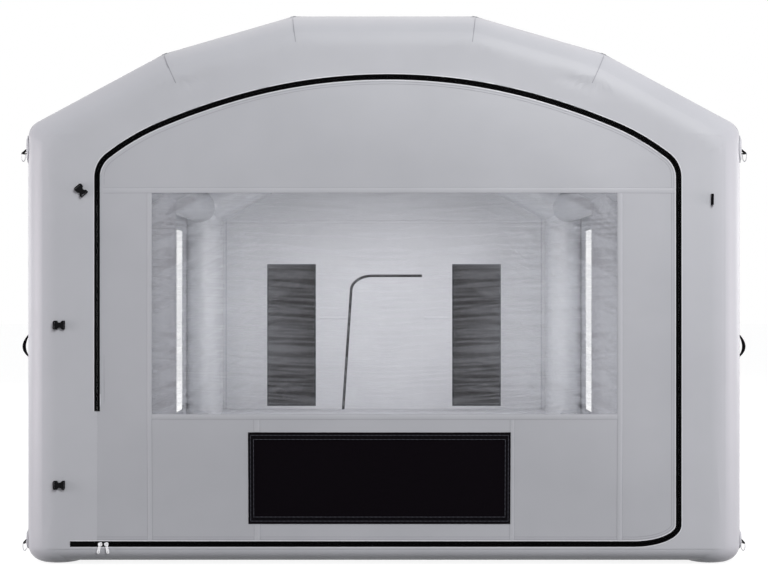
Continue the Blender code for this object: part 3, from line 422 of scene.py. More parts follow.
# %% [markdown]
# ## Plastic and metal fittings
#
# Buckles, valve and zip teeth are moulded acetal. The mould's surface is eroded by sparks, which
# leaves a fine grain that breaks up highlights. Zip sliders are cast zinc with nickel plating,
# and the rings are zinc-plated steel wire. A plain colour would do at this size, but it looks
# like paint close up, so a little wear changes their colour and their polish.

# %% Moulded acetal for the buckles and valve
def moulded_acetal(name, low, high, roughness, shine):
    material, tree, shader = begin(name)
    where = add(tree, "ShaderNodeTexCoord").outputs["Object"]
    # The real grain is 0.1 mm wide, too fine to show, so it is drawn at 1 mm.
    grain = add(tree, "ShaderNodeTexNoise", Vector=where, Scale=900, Detail=2.0)
    tree.links.new(tones(tree, grain.outputs[0], low, high), shader.inputs["Base Color"])
    bump = add(tree, "ShaderNodeBump", Height=grain.outputs[0], Strength=0.12, Distance=0.0004)
    tree.links.new(bump.outputs[0], shader.inputs["Normal"])
    shader.inputs["Roughness"].default_value = roughness
    shader.inputs["IOR"].default_value = 1.48
    shader.inputs["Specular IOR Level"].default_value = shine
    return material


acetal = moulded_acetal("moulded acetal, black", "020204", "060609", 0.4, 0.1)
zip_acetal = moulded_acetal("moulded acetal, zip teeth", "010102", "040405", 0.7, 0.0)


# %% Plated metal for the sliders and rings
def plated_metal(name, colour, dull, roughness):
    material, tree, shader = begin(name)
    where = add(tree, "ShaderNodeTexCoord").outputs["Object"]
    # Handling dulls the plating in spots of about 5 mm.
    wear = add(tree, "ShaderNodeTexNoise", Vector=where, Scale=220, Detail=3.0)
    tree.links.new(tones(tree, wear.outputs[0], dull, colour), shader.inputs["Base Color"])
    rough = add(tree, "ShaderNodeMapRange", Value=wear.outputs[0], To_Min=roughness - 0.08,
                To_Max=roughness + 0.1)
    tree.links.new(rough.outputs[0], shader.inputs["Roughness"])
    shader.inputs["Metallic"].default_value = 1.0
    return material


nickel = plated_metal("nickel-plated zinc, zip sliders", "e6e6e8", "c9c9cc", 0.28)
steel = plated_metal("zinc-plated steel, rings", "d9d9db", "b4b5b8", 0.32)
print("materials", len(bpy.data.materials))


# %% [markdown]
# ## The shape of the booth
#
# One line drawn from foot to foot over the roof gives the cross-section. Every tube could have
# measured points of its own, but they would part from the sheets as soon as a size changed. Moved
# inwards by a depth, the one line gives every line of every tube, so the welded corners come out
# mitred as on the real air frame. A path on a flat sheet is moved sideways in the same way.

# %% Move a path sideways
def offset_path(points, distance, closed=False):
    points = [Vector(p) for p in points]
    count, shifted = len(points), []
    for i, point in enumerate(points):
        before = points[i - 1] if closed or i else None
        after = points[(i + 1) % count] if closed or i < count - 1 else None
        ways = [w.normalized() for w in (before and point - before, after and after - point) if w]
        normals = [Vector((w.y, -w.x)) for w in ways]
        mitre = sum(normals, Vector((0, 0))).normalized()
        shifted.append(point + mitre * (distance / mitre.dot(normals[0])))
    return shifted


# %% Round a corner of a path
def fillet(before, corner, after, radius, steps):
    back, ahead = (before - corner).normalized(), (after - corner).normalized()
    half = back.angle(ahead) / 2
    centre = corner + (back + ahead).normalized() * (radius / math.sin(half))
    start = corner + back * (radius / math.tan(half)) - centre
    turn = start.angle_signed(corner + ahead * (radius / math.tan(half)) - centre)
    return [centre + Matrix.Rotation(-turn * i / steps, 2) @ start for i in range(steps + 1)]


# %% Draw the cross-section of the roof
EAVE_ROUNDING, EAVE_STEPS = 0.10, 8


def roof_line(depth, foot):
    """The line at this depth under the skin, down to the height foot. Deeper lines turn tighter."""
    half, ridge = WIDTH / 2, TOP_PANEL / 2
    right = [(ridge, HEIGHT), (ridge + UPPER_RUN, HEIGHT - UPPER_DROP), (half, EAVE_HEIGHT), (half, 0)]
    left = [(-x, z) for x, z in reversed(right)]
    line = offset_path(left + right, depth)
    radius = EAVE_ROUNDING * (1 - depth / (2.2 * ARCH_DEPTH))
    eaves = [fillet(*line[i - 1:i + 2], radius, EAVE_STEPS) for i in (1, len(line) - 2)]
    ends = [Vector((line[0].x, foot)), Vector((line[-1].x, foot))]
    return [ends[0]] + eaves[0] + line[2:-2] + eaves[1] + [ends[1]]


# %% Share out points along a path
def dense(points, step, closed=False):
    points = [Vector(p) for p in points]
    out = []
    for a, b in zip(points, points[1:] + points[:1] if closed else points[1:]):
        n = max(1, math.ceil((b - a).length / step))
        out += [a.lerp(b, i / n) for i in range(n)]
    return out if closed else out + [points[-1]]


# %% Measure how far a point is from a path
def reach(point, points):
    best = 1e9
    for a, b in zip(points, points[1:]):
        along = b - a
        t = max(0.0, min(1.0, (point - a).dot(along) / along.length_squared))
        best = min(best, (a + along * t - point).length)
    return best


# %% Go smoothly from 0 at one value to 1 at another
def ease(value, low, high):
    t = max(0.0, min(1.0, (value - low) / (high - low)))
    return t * t * (3 - 2 * t)


# %% [markdown]
# ## Surfaces that everything lies on
#
# Slack cloth swells and dips by a few millimetres. It could be simulated, but then each seam and
# zip would have to be fitted to the result. So each wall is described once, by a function that
# turns a place on the wall into a point in space, swell included. The sheet, its seams, its zip
# and its filters all use the same function, so they lie on each other everywhere.

# %% The swell of a wall
RIM = roof_line(ARCH_DEPTH, SILL_Z)
OUTER = roof_line(0.0, SILL_Z)
# Cloth lies still under the top buckle and the zip sliders.
FITTINGS = [Vector((-1.672, 2.071)), Vector((-1.55, 0.10))]


def swell(u, v, seed, amount):
    """A broad wave over a metre with a narrower one in it, fading out 0.3 m from the rim."""
    here = Vector((u, v))
    free = min(reach(here, RIM), abs(v - SILL_Z), *[(here - f).length - 0.05 for f in FITTINGS])
    broad = noise.noise(Vector((u * 0.8, v * 0.7, seed)))
    narrow = noise.noise(Vector((u * 2.2 + v * 0.5, v * 1.6, seed + 5)))
    return amount * (broad + 0.35 * narrow) * ease(free, 0.02, 0.3)


# %% Creases that start at the welded corners of the arch
CREASE_DEPTH, CREASE_WIDTH = 0.006, 0.020
# The low end of each weld on the inside of the arch, and the way in which its crease runs.
WELDS = [(Vector((side * 1.129, 2.649)), Vector((-side * 0.96, 0.28))) for side in (-1, 1)]


def crease(u, v):
    """How deep the cloth folds in where a weld pulls at it. The fold bends and fades inwards."""
    dip = 0.0
    for corner, way in WELDS:
        gap = Vector((u, v)) - corner
        along = gap.dot(way)
        across = gap.dot(Vector((-way.y, way.x)))
        fade = ease(along, -0.16, 0.0) * (1 - ease(along, 0.02, 0.32))
        bend = across + math.copysign(0.05 * abs(along), -way.x)
        dip += CREASE_DEPTH * fade * math.exp(-(bend / CREASE_WIDTH) ** 2)
    return dip


# %% Places on the front wall
# The arches stand on their feet. The thin sill between them is pressed to this share of its
# radius below, and hangs 18 mm clear of the ground.
SILL_SHARE = 0.82
PILLOW, FRONT_SWELL = 0.035, 0.005
# A place within a hair of a tube's border counts as inside it, or the sheet's corners would lift.
HAIR = 1e-5


def round_tube(miss, size, skin):
    """How far out a sheet lies on a round tube, this far from the tube's middle line. It stands
    off the tube by the skin at the middle and by 0.5 mm from 70 mm on, where it is welded flat."""
    size = size + skin - (skin - 0.0005) * ease(miss, 0.0, 0.07)
    return math.sqrt(max(0.0, size ** 2 - miss ** 2))


def on_front(u, v, h=0.0):
    """A place on the front wall, h in front of its cloth. At its edges the wall lies on a tube."""
    here = Vector((u, v))
    lift = h if h > 0 else h * 0.3
    if v < SILL_Z - HAIR:
        return Vector((u, SILL_Y - round_tube((SILL_Z - v) / SILL_SHARE, SILL, RIND) - lift, v))
    if reach(here, OUTER) < ARCH_DEPTH - HAIR:
        return Vector((u, -ARCH_Y - round_tube(reach(here, RIM), TUBE, RIND) - lift, v))
    # The door fills out like a pillow, steepest just inside the arch.
    inward = [max(0.0, min(1.0, (d - start) / 0.5))
              for d, start in ((reach(here, RIM), 0.17), (ARCH_X - abs(u), 0.26))]
    pillow = PILLOW * (1 - (1 - inward[0]) ** 2) * (1 - (1 - inward[1]) ** 2) * ease(v, 0.15, 0.9)
    return Vector((u, -LENGTH / 2 - h - swell(u, v, 3.1, FRONT_SWELL) - pillow + crease(u, v), v))


# %% Places on the back and side walls
BACK_SWELL, SIDE_SLACK = 0.008, 0.006


def on_back(u, v, h=0.0):
    return Vector((u, LENGTH / 2 + h + swell(u, v, 7.7, BACK_SWELL), v))


def on_side(side):
    """A side wall is slack in the middle of each bay and tight on the arches, beam and hem."""
    def place(u, v, h=0.0):
        middle = ease(ARCH_Y - abs(u), 0.0, 0.5) * ease(abs(u), 0.0, 0.5)
        middle *= ease(v - BEAM_Z, 0.0, 0.3) * ease(ROOF_HEM - v, 0.0, 0.15)
        slack = SIDE_SLACK * noise.noise(Vector((u * 0.9, v * 0.9, 11.0 * side))) - 0.004
        return Vector((side * (WIDTH / 2 + h + slack * middle), u, v))
    return place


print("the door's middle fills out by", round(-LENGTH / 2 - on_front(0.0, 1.5).y, 4), "m")

# %% [markdown]
# The roof hangs between the arches. Halfway along each bay it sags by 30 mm, and it rests on the
# shoulder beams at the eaves, so it doesn't sag there. A cloth simulation would give the same
# curve. The square of a sine has it too, and its ends leave the arches level, as cloth does.

# %% Places on the roof
ROOF_SAG, SAG_FROM = 0.030, 1.62
ROOF = dense(roof_line(0, ROOF_HEM), 0.09)
STEPS = [0.0]
for a, b in zip(ROOF, ROOF[1:]):
    STEPS.append(STEPS[-1] + (b - a).length)
NORMALS = [(moved - point).normalized() for moved, point in zip(offset_path(ROOF, -1.0), ROOF)]


def on_roof(i, y, h=0.0):
    point, out = ROOF[i], NORMALS[i]
    bay = math.sin(math.pi * abs(y) / ARCH_Y) ** 2
    across = ease(SAG_FROM - abs(point.x), 0.0, 0.55)
    ripple = noise.noise(Vector((STEPS[i] * 1.3, y * 1.1, 2.0)))
    sag = bay * across * (ROOF_SAG + 0.008 * ripple) + bay * 0.002 * ripple
    spot = point + out * (h - sag)
    return Vector((spot.x, y, spot.y))


print("roof cloth is", round(STEPS[-1], 3), "m from hem to hem")


# %% [markdown]
# ## Making meshes
#
# Pieces could be made by hand in Edit Mode, but then no size could change later. Three helpers
# make nearly everything instead: a loft skins a row of rings, a cloth cuts a flat outline with
# holes into a fine grid and lays it on a wall, and a strip runs a profile along a path. Each
# piece rides on a body of the frame, and stands for the solid that it covers.

# %% Finish a mesh and let it ride on its body
def finish(bm, name, material, body="booth", stands_for=None, smooth=True):
    bmesh.ops.recalc_face_normals(bm, faces=bm.faces)
    mesh = bpy.data.meshes.new(name)
    bm.to_mesh(mesh)
    bm.free()
    if smooth:
        mesh.shade_smooth()
        mesh.set_sharp_from_angle(angle=math.radians(40))
    for item in material if isinstance(material, list) else [material]:
        mesh.materials.append(item)
    piece = bpy.data.objects.new(name, mesh)
    bpy.context.collection.objects.link(piece)
    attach(piece, body)
    if stands_for:
        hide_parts(stands_for)
    return piece


# %% Skin a row of rings
def loft(rings, closed=False):
    """Faces from ring to ring. An open row also gets a face on its first and its last ring."""
    bm = bmesh.new()
    rows = [[bm.verts.new(p) for p in ring] for ring in rings]
    for low, high in zip(rows, rows[1:] + rows[:1] if closed else rows[1:]):
        for i in range(len(low)):
            j = (i + 1) % len(low)
            bm.faces.new((low[i], low[j], high[j], high[i]))
    if not closed:
        bm.faces.new(rows[0])
        bm.faces.new(rows[-1])
    return bm


# %% Measure a flat cut and print its size and area
def cut_area(outlines):
    areas = []
    for outline in outlines:
        turned = outline[1:] + outline[:1]
        areas.append(abs(sum(a[0] * b[1] - a[1] * b[0] for a, b in zip(outline, turned))) / 2)
    return max(areas) - (sum(areas) - max(areas))


def declare(piece, outlines, flat=None):
    xs, ys = [p[0] for p in outlines[0]], [p[1] for p in outlines[0]]
    size = flat or (max(xs) - min(xs), max(ys) - min(ys))
    area = min(cut_area(outlines), size[0] * size[1])
    print(piece.name, "cut from", [round(v, 3) for v in size], "m,", round(area, 2), "square metres")


# %% Lay a flat sheet with holes on a wall
CLOTH, FILM = 0.0012, 0.0005


def cloth(outlines, place, pitch=0.1, thick=CLOTH):
    bm = bmesh.new()
    edges = []
    for outline in outlines:
        verts = [bm.verts.new((p[0], p[1], 0)) for p in outline]
        edges += [bm.edges.new(pair) for pair in zip(verts, verts[1:] + verts[:1])]
    bmesh.ops.triangle_fill(bm, use_beauty=True, edges=edges)
    spans = [(min(v.co[k] for v in bm.verts), max(v.co[k] for v in bm.verts)) for k in (0, 1)]
    for way, (low, high) in zip((Vector((1, 0, 0)), Vector((0, 1, 0))), spans):
        count = round((high - low) / pitch)
        for i in range(1, count):
            at = way * (low + (high - low) * i / count)
            everything = bm.verts[:] + bm.edges[:] + bm.faces[:]
            bmesh.ops.bisect_plane(bm, geom=everything, plane_co=at, plane_no=way)
    extruded = bmesh.ops.extrude_face_region(bm, geom=bm.faces[:])["geom"]
    behind = {item for item in extruded if isinstance(item, bmesh.types.BMVert)}
    for vert in bm.verts:
        vert.co = place(vert.co.x, vert.co.y, -thick if vert in behind else 0.0)
    return bm


# %% Run a profile along a path on a wall
def strip(path, profile, place, step=0.08, closed=False):
    points = dense(path, step, closed)
    sides = [offset_path(points, across, closed) for across, _ in profile]
    rings = [[place(side[i].x, side[i].y, h) for side, (_, h) in zip(sides, profile)]
             for i in range(len(points))]
    return loft(rings, closed=closed)


def flat_strip(path, low, high, rise, place, base=0.0001, **more):
    """A thin strip between two offsets of a path, with softened edges."""
    soft = min(0.0008, (high - low) / 4)
    profile = [(low, base), (low, base + rise * 0.5), (low + soft, base + rise),
               (high - soft, base + rise), (high, base + rise * 0.5), (high, base)]
    return strip(path, profile, place, **more)


# %% Draw a box as a path, and shrink it
def box_line(left, right, low, high):
    return [(left, low), (right, low), (right, high), (left, high)]


def inset(box, across, up=None):
    up = across if up is None else up
    return box[0] + across, box[1] - across, box[2] + up, box[3] - up


# %% [markdown]
# ## The arches
#
# Each arch is one air tube. Straight lengths are welded together at the roof corners, and the
# tube pulls in along each weld and puckers beside it. The feet are round discs welded into the
# tube's end, which the air presses to a rounded edge. A curve with a round bevel could draw the
# tube, but it pinches at sharp corners. Rings between parallel lines keep the mitres clean and
# let each ring point be pulled in by itself.

# %% Work out the rings of an arch
ARCH_SIDES, RING_STEP = 64, 0.06
PULL, PULL_WIDTH, PUCKER, PUCKER_LENGTH, PUCKERS = 0.0028, 0.018, 0.0016, 0.11, 17


def arch_rings(y):
    foot = RIND + FOOT_ROUNDING
    angles = [2 * math.pi * k / ARCH_SIDES for k in range(ARCH_SIDES)]
    rails = [roof_line(ARCH_DEPTH - TUBE * math.cos(a), foot) for a in angles]
    spine = roof_line(ARCH_DEPTH, foot)
    # Welds cross the middle of each rounded eave and the four corners of the roof between them.
    eave, corners = 1 + EAVE_STEPS // 2, range(2 + EAVE_STEPS, 6 + EAVE_STEPS)
    welds = [spine[i] for i in (eave, *corners, len(spine) - 1 - eave)]
    rings = []
    for i in range(len(spine) - 1):
        count = max(1, round((spine[i + 1] - spine[i]).length / RING_STEP))
        for j in range(count + (i == len(spine) - 2)):
            middle = spine[i].lerp(spine[i + 1], j / count)
            near = min((middle - w).length for w in welds)
            ring = []
            for a, rail in zip(angles, rails):
                p = rail[i].lerp(rail[i + 1], j / count)
                ripple = 1 + math.sin(a * PUCKERS + 2 * noise.noise(Vector((p.x, p.y, y))))
                pull = PULL * math.exp(-(near / PULL_WIDTH) ** 2)
                pull += PUCKER * math.exp(-near / PUCKER_LENGTH) * ripple / 2
                around = TUBE * math.sin(a)
                radial = Vector((p.x - middle.x, around, p.y - middle.y)).normalized()
                ring.append(Vector((p.x, y + around, p.y)) - radial * pull)
            rings.append(ring)
    return rings


# %% Close an arch with its feet
FOOT_STEPS = 12


def arch(name, y, node):
    rings = arch_rings(y)
    for side, end in ((-1, 0), (1, -1)):
        centre, top = Vector((side * ARCH_X, y, 0)), rings[end]
        foot = []
        for i in range(1, FOOT_STEPS + 1):
            turn = math.pi / 2 * i / FOOT_STEPS
            z = RIND + FOOT_ROUNDING * (1 - math.sin(turn))
            spread = 1 - FOOT_ROUNDING / TUBE * (1 - math.cos(turn))
            foot.append([centre + Vector(((p.x - centre.x) * spread, (p.y - y) * spread, z)) for p in top])
        rings = foot[::-1] + rings if side < 0 else rings + foot
    return finish(loft(rings), name, tube_cloth, stands_for=node)


arches = [arch(f"air_arch_{label}", y, f"arch_{label}")
          for label, y in (("front", -ARCH_Y), ("middle", 0.0), ("rear", ARCH_Y))]
print("arch vertices", len(arches[0].data.vertices))


# %% [markdown]
# ## The beams
#
# Straight air tubes tie the arches together. Their ends are cut to the round of the arch that
# they are welded to. A boolean cut could do that, but it leaves long thin faces that shade badly.
# Instead each point of a beam's end is moved along the beam until it meets the arch.

# %% Cut a beam's end to an arch
SPINE = roof_line(ARCH_DEPTH, 0)


def saddle(point, spine):
    """How far the tube's surface stands off its own middle line at this place."""
    girth = TUBE
    if point.y < RIND + FOOT_ROUNDING:
        drop = min(1.0, (RIND + FOOT_ROUNDING - point.y) / FOOT_ROUNDING)
        girth = TUBE - FOOT_ROUNDING * (1 - math.sqrt(1 - drop ** 2))
    miss = min(reach(point, spine), girth)
    return math.sqrt(max(0.0, girth ** 2 - miss ** 2))


# %% Make the beams along the sides
BEAM_RINGS, BEAM_SIDES, BEAM_PUCKER, BEAM_PUCKERS = 24, 48, 0.0015, 13


def side_beam(name, x, z, low, high, node):
    rings = []
    for i in range(BEAM_RINGS + 1):
        ring = []
        for k in range(BEAM_SIDES):
            a = 2 * math.pi * k / BEAM_SIDES
            p = Vector((x + BEAM * math.cos(a), z + BEAM * math.sin(a)))
            off = saddle(Vector((abs(p.x), p.y)), SPINE) + GAP
            start, end = low + off, high - off
            y = start + (end - start) * i / BEAM_RINGS
            near = min(y - start, end - y)
            dip = BEAM_PUCKER * math.exp(-near / 0.06) * (1 + math.sin(a * BEAM_PUCKERS)) / 2
            ring.append(Vector((p.x - dip * math.cos(a), y, p.y - dip * math.sin(a))))
        rings.append(ring)
    return finish(loft(rings), name, tube_cloth, stands_for=node)


# A shoulder beam touches the roof's slope from below. The solid has 32 sides, and its corners
# reach a little further than the round.
slope = Vector((WIDTH / 2 - TOP_PANEL / 2 - UPPER_RUN, -LOWER_DROP)).normalized()
corner = BEAM / math.cos(math.pi / 32)
SHOULDER_Z = EAVE_HEIGHT + ((WIDTH / 2 - BEAM_X) * -slope.y - corner - RIND) / slope.x
for label, side in (("left", -1), ("right", 1)):
    for bay, low, high in (("front", -ARCH_Y, 0.0), ("rear", 0.0, ARCH_Y)):
        for level, z in (("shoulder", SHOULDER_Z), ("ground", BEAM_Z)):
            side_beam(f"air_{level}_{label}_{bay}", side * BEAM_X, z, low, high,
                                   f"{level}_beam_{label}_{bay}")


# %% Make the sill at the front and the beam at the back
def cross_beam(name, y, z, radius, arch_y, node, share=1.0):
    """A beam from column to column. Its lower half is pressed flat to a share of its radius."""
    column = [Vector((ARCH_X, 0)), Vector((ARCH_X, 2))]
    rings = []
    for i in range(BEAM_RINGS + 1):
        ring = []
        for k in range(BEAM_SIDES):
            a = 2 * math.pi * k / BEAM_SIDES
            py, pz = y + radius * math.cos(a), z + radius * math.sin(a) * (share if a > math.pi else 1.0)
            end = ARCH_X - (saddle(Vector((ARCH_X + abs(py - arch_y), pz)), column) + GAP)
            ring.append(Vector((-end + 2 * end * i / BEAM_RINGS, py, pz)))
        rings.append(ring)
    return finish(loft(rings), name, tube_cloth, stands_for=node)


cross_beam("air_sill", SILL_Y, SILL_Z, SILL, -ARCH_Y, "sill_tube", SILL_SHARE)
cross_beam("air_beam_back", BEAM_Y, BEAM_Z, BEAM, ARCH_Y, "ground_beam_back")

# %% [markdown]
# ## The roof
#
# The roof is one long sheet over all three arches, cut from panels that are joined by welded
# tapes. It could be a flat grid pressed down on the arches, which would need a simulation. Its
# rows are laid by the roof's own function, and so are the tapes, 0.1 to 0.3 mm above it.

# %% Hang the roof
ROOF_ROWS = 84
rows = [-ARCH_Y + 2 * ARCH_Y * j / ROOF_ROWS for j in range(ROOF_ROWS + 1)]
rings = [[on_roof(i, y) for y in rows] + [on_roof(i, y, -CLOTH) for y in reversed(rows)]
         for i in range(len(ROOF))]
roof = finish(loft(rings), "roof_sheet", wall_cloth, stands_for="roof_skin")
print("roof faces", len(roof.data.polygons))


# %% Weld seam tapes along and across the roof
SEAM_HALF, SEAM_TOP, SEAM_RISE, END_SEAM = 0.015, 0.0135, 0.0009, 0.016


def roof_tape(name, spots):
    """A 30 mm tape over the roof, through spots with the way across it and the way out."""
    rings = []
    for p, across, out in spots:
        rings.append([p - across * SEAM_HALF, p - across * SEAM_TOP + out * SEAM_RISE,
                      p + across * SEAM_TOP + out * SEAM_RISE, p + across * SEAM_HALF])
    return finish(loft(rings), name, seam_cloth)


tapes = []
for label, y in (("front", -ARCH_Y + END_SEAM), ("middle", 0.0), ("rear", ARCH_Y - END_SEAM)):
    spots = [(on_roof(i, y, 0.0001), Vector((0, 1, 0)), Vector((NORMALS[i].x, 0, NORMALS[i].y)))
             for i in range(len(ROOF))]
    tapes.append(roof_tape(f"roof_tape_{label}", spots))
bends = (TOP_PANEL / 2, TOP_PANEL / 2 + UPPER_RUN)
corners = [i for i, p in enumerate(ROOF) if min(abs(abs(p.x) - bend) for bend in bends) < 1e-4]
for n, i in enumerate(corners):
    out = Vector((NORMALS[i].x, 0, NORMALS[i].y))
    spots = [(on_roof(i, y, 0.0003), Vector((out.z, 0, -out.x)), out) for y in rows]
    tapes.append(roof_tape(f"roof_tape_ridge_{n}", spots))
print("roof tapes", len(tapes))

# %% [markdown]
# ## The side walls and the floor
#
# A side wall is one sheet, welded to the roof's hem and the ground beam, with an opening in each
# bay. A clear film is welded behind each opening, under a band. The openings could be cut by
# booleans. Here they are holes in the flat outline, which gives the real cutting pattern and its
# area. The floor is a tarpaulin that lies loose on the ground.

# %% Hang the side walls with their windows
SIDE_MARGIN, FILM_LAP = 0.21, 0.015
# The band that holds the film laps 60 mm over it and 28 mm over the wall.
BAND_IN, BAND_OUT = 0.060, 0.028
bays = {"front": (-ARCH_Y + TUBE + SIDE_MARGIN, -TUBE - SIDE_MARGIN),
        "rear": (TUBE + SIDE_MARGIN, ARCH_Y - TUBE - SIDE_MARGIN)}
SIDE_SILL, SIDE_HEAD = BEAM_Z + 0.128, ROOF_HEM - 0.14
for label, side in (("left", -1), ("right", 1)):
    place = on_side(side)
    openings = {bay: (low, high, SIDE_SILL, SIDE_HEAD) for bay, (low, high) in bays.items()}
    cut = [box_line(-ARCH_Y, ARCH_Y, BEAM_Z, ROOF_HEM - GAP)]
    cut += [box_line(*opening) for opening in openings.values()]
    wall = finish(cloth(cut, place), f"side_sheet_{label}", tube_cloth,
                  stands_for=f"side_wall_{label}")
    declare(wall, cut)
    for bay, opening in openings.items():
        film = finish(cloth([box_line(*inset(opening, -FILM_LAP))], lambda u, v, h: place(u, v, h - RIND),
                            thick=FILM), f"side_film_{label}_{bay}", side_film,
                      stands_for=f"side_window_{label}_{bay}")
        low, high = bays[bay]
        finish(flat_strip(box_line(*opening), -BAND_IN, BAND_OUT, SEAM_RISE, place, closed=True),
               f"side_window_weld_{label}_{bay}", seam_cloth)

# %% Lay the floor sheet
FLOOR_LAP, TARPAULIN = 0.01, 0.002
floor_edge = box_line(-BEAM_X - FLOOR_LAP, BEAM_X + FLOOR_LAP, -ARCH_Y + 2 * FLOOR_LAP,
                      BEAM_Y + FLOOR_LAP)
ground = finish(cloth([floor_edge], lambda u, v, h: Vector((u, v, TARPAULIN + h)), pitch=0.5,
                      thick=TARPAULIN), "floor_tarpaulin", floor_cloth,
                stands_for="floor_sheet")
print("floor sheet", [round(v, 3) for v in ground.dimensions])


# %% [markdown]
# ## The lines of the zips
#
# The front zip starts beside the window, runs up the left side, over the crown, down the right
# side, round the corner and back along the sill past the hinge. The crown could be traced as
# points, but points wobble. It is four arcs on each side of its middle, which meet smoothly
# because each starts in the direction in which the last one ends. Their radii are shares of half
# the door's width. The line is drawn once, and everything at the door's edge follows it.

# %% Draw the line of the front zip
# Each arc of the crown: its radius, how many degrees it turns, and its number of steps.
CROWN_ARCS = ((1.906, 16.7, 20), (2.413, 5.8, 8), (0.809, 15.4, 14), (0.094, 52.1, 18))
CORNER_RUN, CORNER_RISE, CORNER_STEPS = 0.248, 0.106, 20


def front_zip_line():
    crown, lean = [Vector((0, 0))], 0.0
    for radius, turn, steps in CROWN_ARCS:
        centre = crown[-1] - radius * Vector((math.sin(lean), math.cos(lean)))
        for i in range(1, steps + 1):
            a = lean + math.radians(turn) * i / steps
            crown.append(centre + radius * Vector((math.sin(a), math.cos(a))))
        lean = a
    middle = (DOOR_LEFT + DOOR_RIGHT) / 2
    size = (DOOR_RIGHT - middle) / crown[-1].x
    line = [Vector((DOOR_LEFT, HINGE_TOP))]
    line += [Vector((middle - p.x * size, DOOR_CROWN + p.y * size)) for p in reversed(crown)]
    line += [Vector((middle + p.x * size, DOOR_CROWN + p.y * size)) for p in crown[1:]]
    for a in (-math.pi / 2 * i / CORNER_STEPS for i in range(CORNER_STEPS + 1)):
        line.append(Vector((DOOR_RIGHT - CORNER_RUN * (1 - math.cos(a)),
                            DOOR_BOTTOM + CORNER_RISE * (1 + math.sin(a)))))
    return line + [Vector((DOOR_LEFT, DOOR_BOTTOM))]


ZIP = front_zip_line()
print("front zip is", round(sum((b - a).length for a, b in zip(ZIP, ZIP[1:])), 2), "m long")

# %% Draw the line of the back zip
BACK_HINGE, BACK_WIDE, BACK_HIGH, BACK_FOOT = 0.39, 0.815, 1.46, BEAM_Z + 0.05
BACK_LEAN, BACK_RUN, BACK_RISE, BACK_STEPS = 0.098, 0.205, 0.143, 16


def back_zip_line():
    """From the hinge's foot along the ground, up the slanted side and round to the hinge's head."""
    left = BACK_HINGE - BACK_WIDE
    line = [Vector((BACK_HINGE, BACK_FOOT)), Vector((left, BACK_FOOT))]
    for i in range(BACK_STEPS + 1):
        a = math.pi / 2 * i / BACK_STEPS
        rise = BACK_HIGH - BACK_RISE * (1 - math.sin(a))
        slant = left + BACK_LEAN / BACK_HIGH * rise
        line.append(Vector((slant + BACK_RUN * (1 - math.cos(a)), BACK_FOOT + rise)))
    return line + [Vector((BACK_HINGE, BACK_FOOT + BACK_HIGH))]


BACK_ZIP = back_zip_line()
print("back zip is", round(sum((b - a).length for a, b in zip(BACK_ZIP, BACK_ZIP[1:])), 2), "m long")


# %% [markdown]
# ## The zips
#
# A zip is two woven tapes with a chain of teeth between them. The cloth is cut back on each side,
# 7 mm at the front and 13.5 mm at the back, so the chain lies in a narrow slot that also shows
# from inside. A pale edge tape welds the zip to the cloth. A picture of teeth could stand for the
# chain, but it would be torn when the door swings open, so each tooth is a small block on the
# half that it belongs to.

# %% Make the tape halves
REVEAL, BACK_REVEAL = 0.007, 0.0135
SLIT, TAPE_THICK, EDGE, EDGE_THICK, EDGE_BASE = 0.0002, 0.0010, 0.005, 0.0002, 0.00005


def zip_half(name, line, side, place, body, node):
    inner, outer = sorted((side * SLIT, side * TAPE))
    finish(flat_strip(line, inner, outer, TAPE_THICK, place, base=GAP), name, zip_nylon,
           body=body, stands_for=node)
    low, high = sorted((side * TAPE, side * (TAPE + EDGE)))
    finish(flat_strip(line, low, high, EDGE_THICK, place, base=EDGE_BASE), f"{name}_edge", edge_tape,
           body=body)


# %% Make the teeth
# The real teeth are 2 mm apart, too fine to show, so they are drawn 6 mm apart.
TOOTH_PITCH, TOOTH_HALF, TOOTH_OUT, TOOTH_BASE = 0.006, 0.22, 0.0033, 0.0013


def zip_teeth(name, line, side, place, body):
    bm = bmesh.new()
    points = dense(line, TOOTH_PITCH)
    ways = [(b - a).normalized() for a, b in zip(points, points[1:])]
    for p, way in zip(points, ways):
        out = Vector((way.y, -way.x)) * side
        mid = p + way * (0.25 if side > 0 else 0.75) * TOOTH_PITCH
        corners = [mid + way * s * TOOTH_PITCH * TOOTH_HALF + out * t
                   for s, t in ((-1, SLIT), (1, SLIT), (1, TOOTH_OUT), (-1, TOOTH_OUT))]
        low = [bm.verts.new(place(c.x, c.y, TOOTH_BASE)) for c in corners]
        high = [bm.verts.new(place(c.x, c.y, CHAIN_TOP - SLIT)) for c in corners]
        bm.faces.new(low)
        bm.faces.new(high)
        for j in range(4):
            k = (j + 1) % 4
            bm.faces.new((low[j], low[k], high[k], high[j]))
    print(name, len(points) - 1, "teeth")
    finish(bm, name, zip_acetal, body=body, smooth=False)


# %% Close both zips
for label, line, place in (("front", ZIP, on_front), ("back", BACK_ZIP, on_back)):
    zip_half(f"{label}_zip_door_side", line, 1, place, f"{label}_door", f"{label}_zip_door_tape")
    zip_half(f"{label}_zip_wall_side", line, -1, place, "booth", f"{label}_zip_wall_tape")
    zip_teeth(f"{label}_zip_teeth_door", line, 1, place, f"{label}_door")
    zip_teeth(f"{label}_zip_teeth_wall", line, -1, place, "booth")

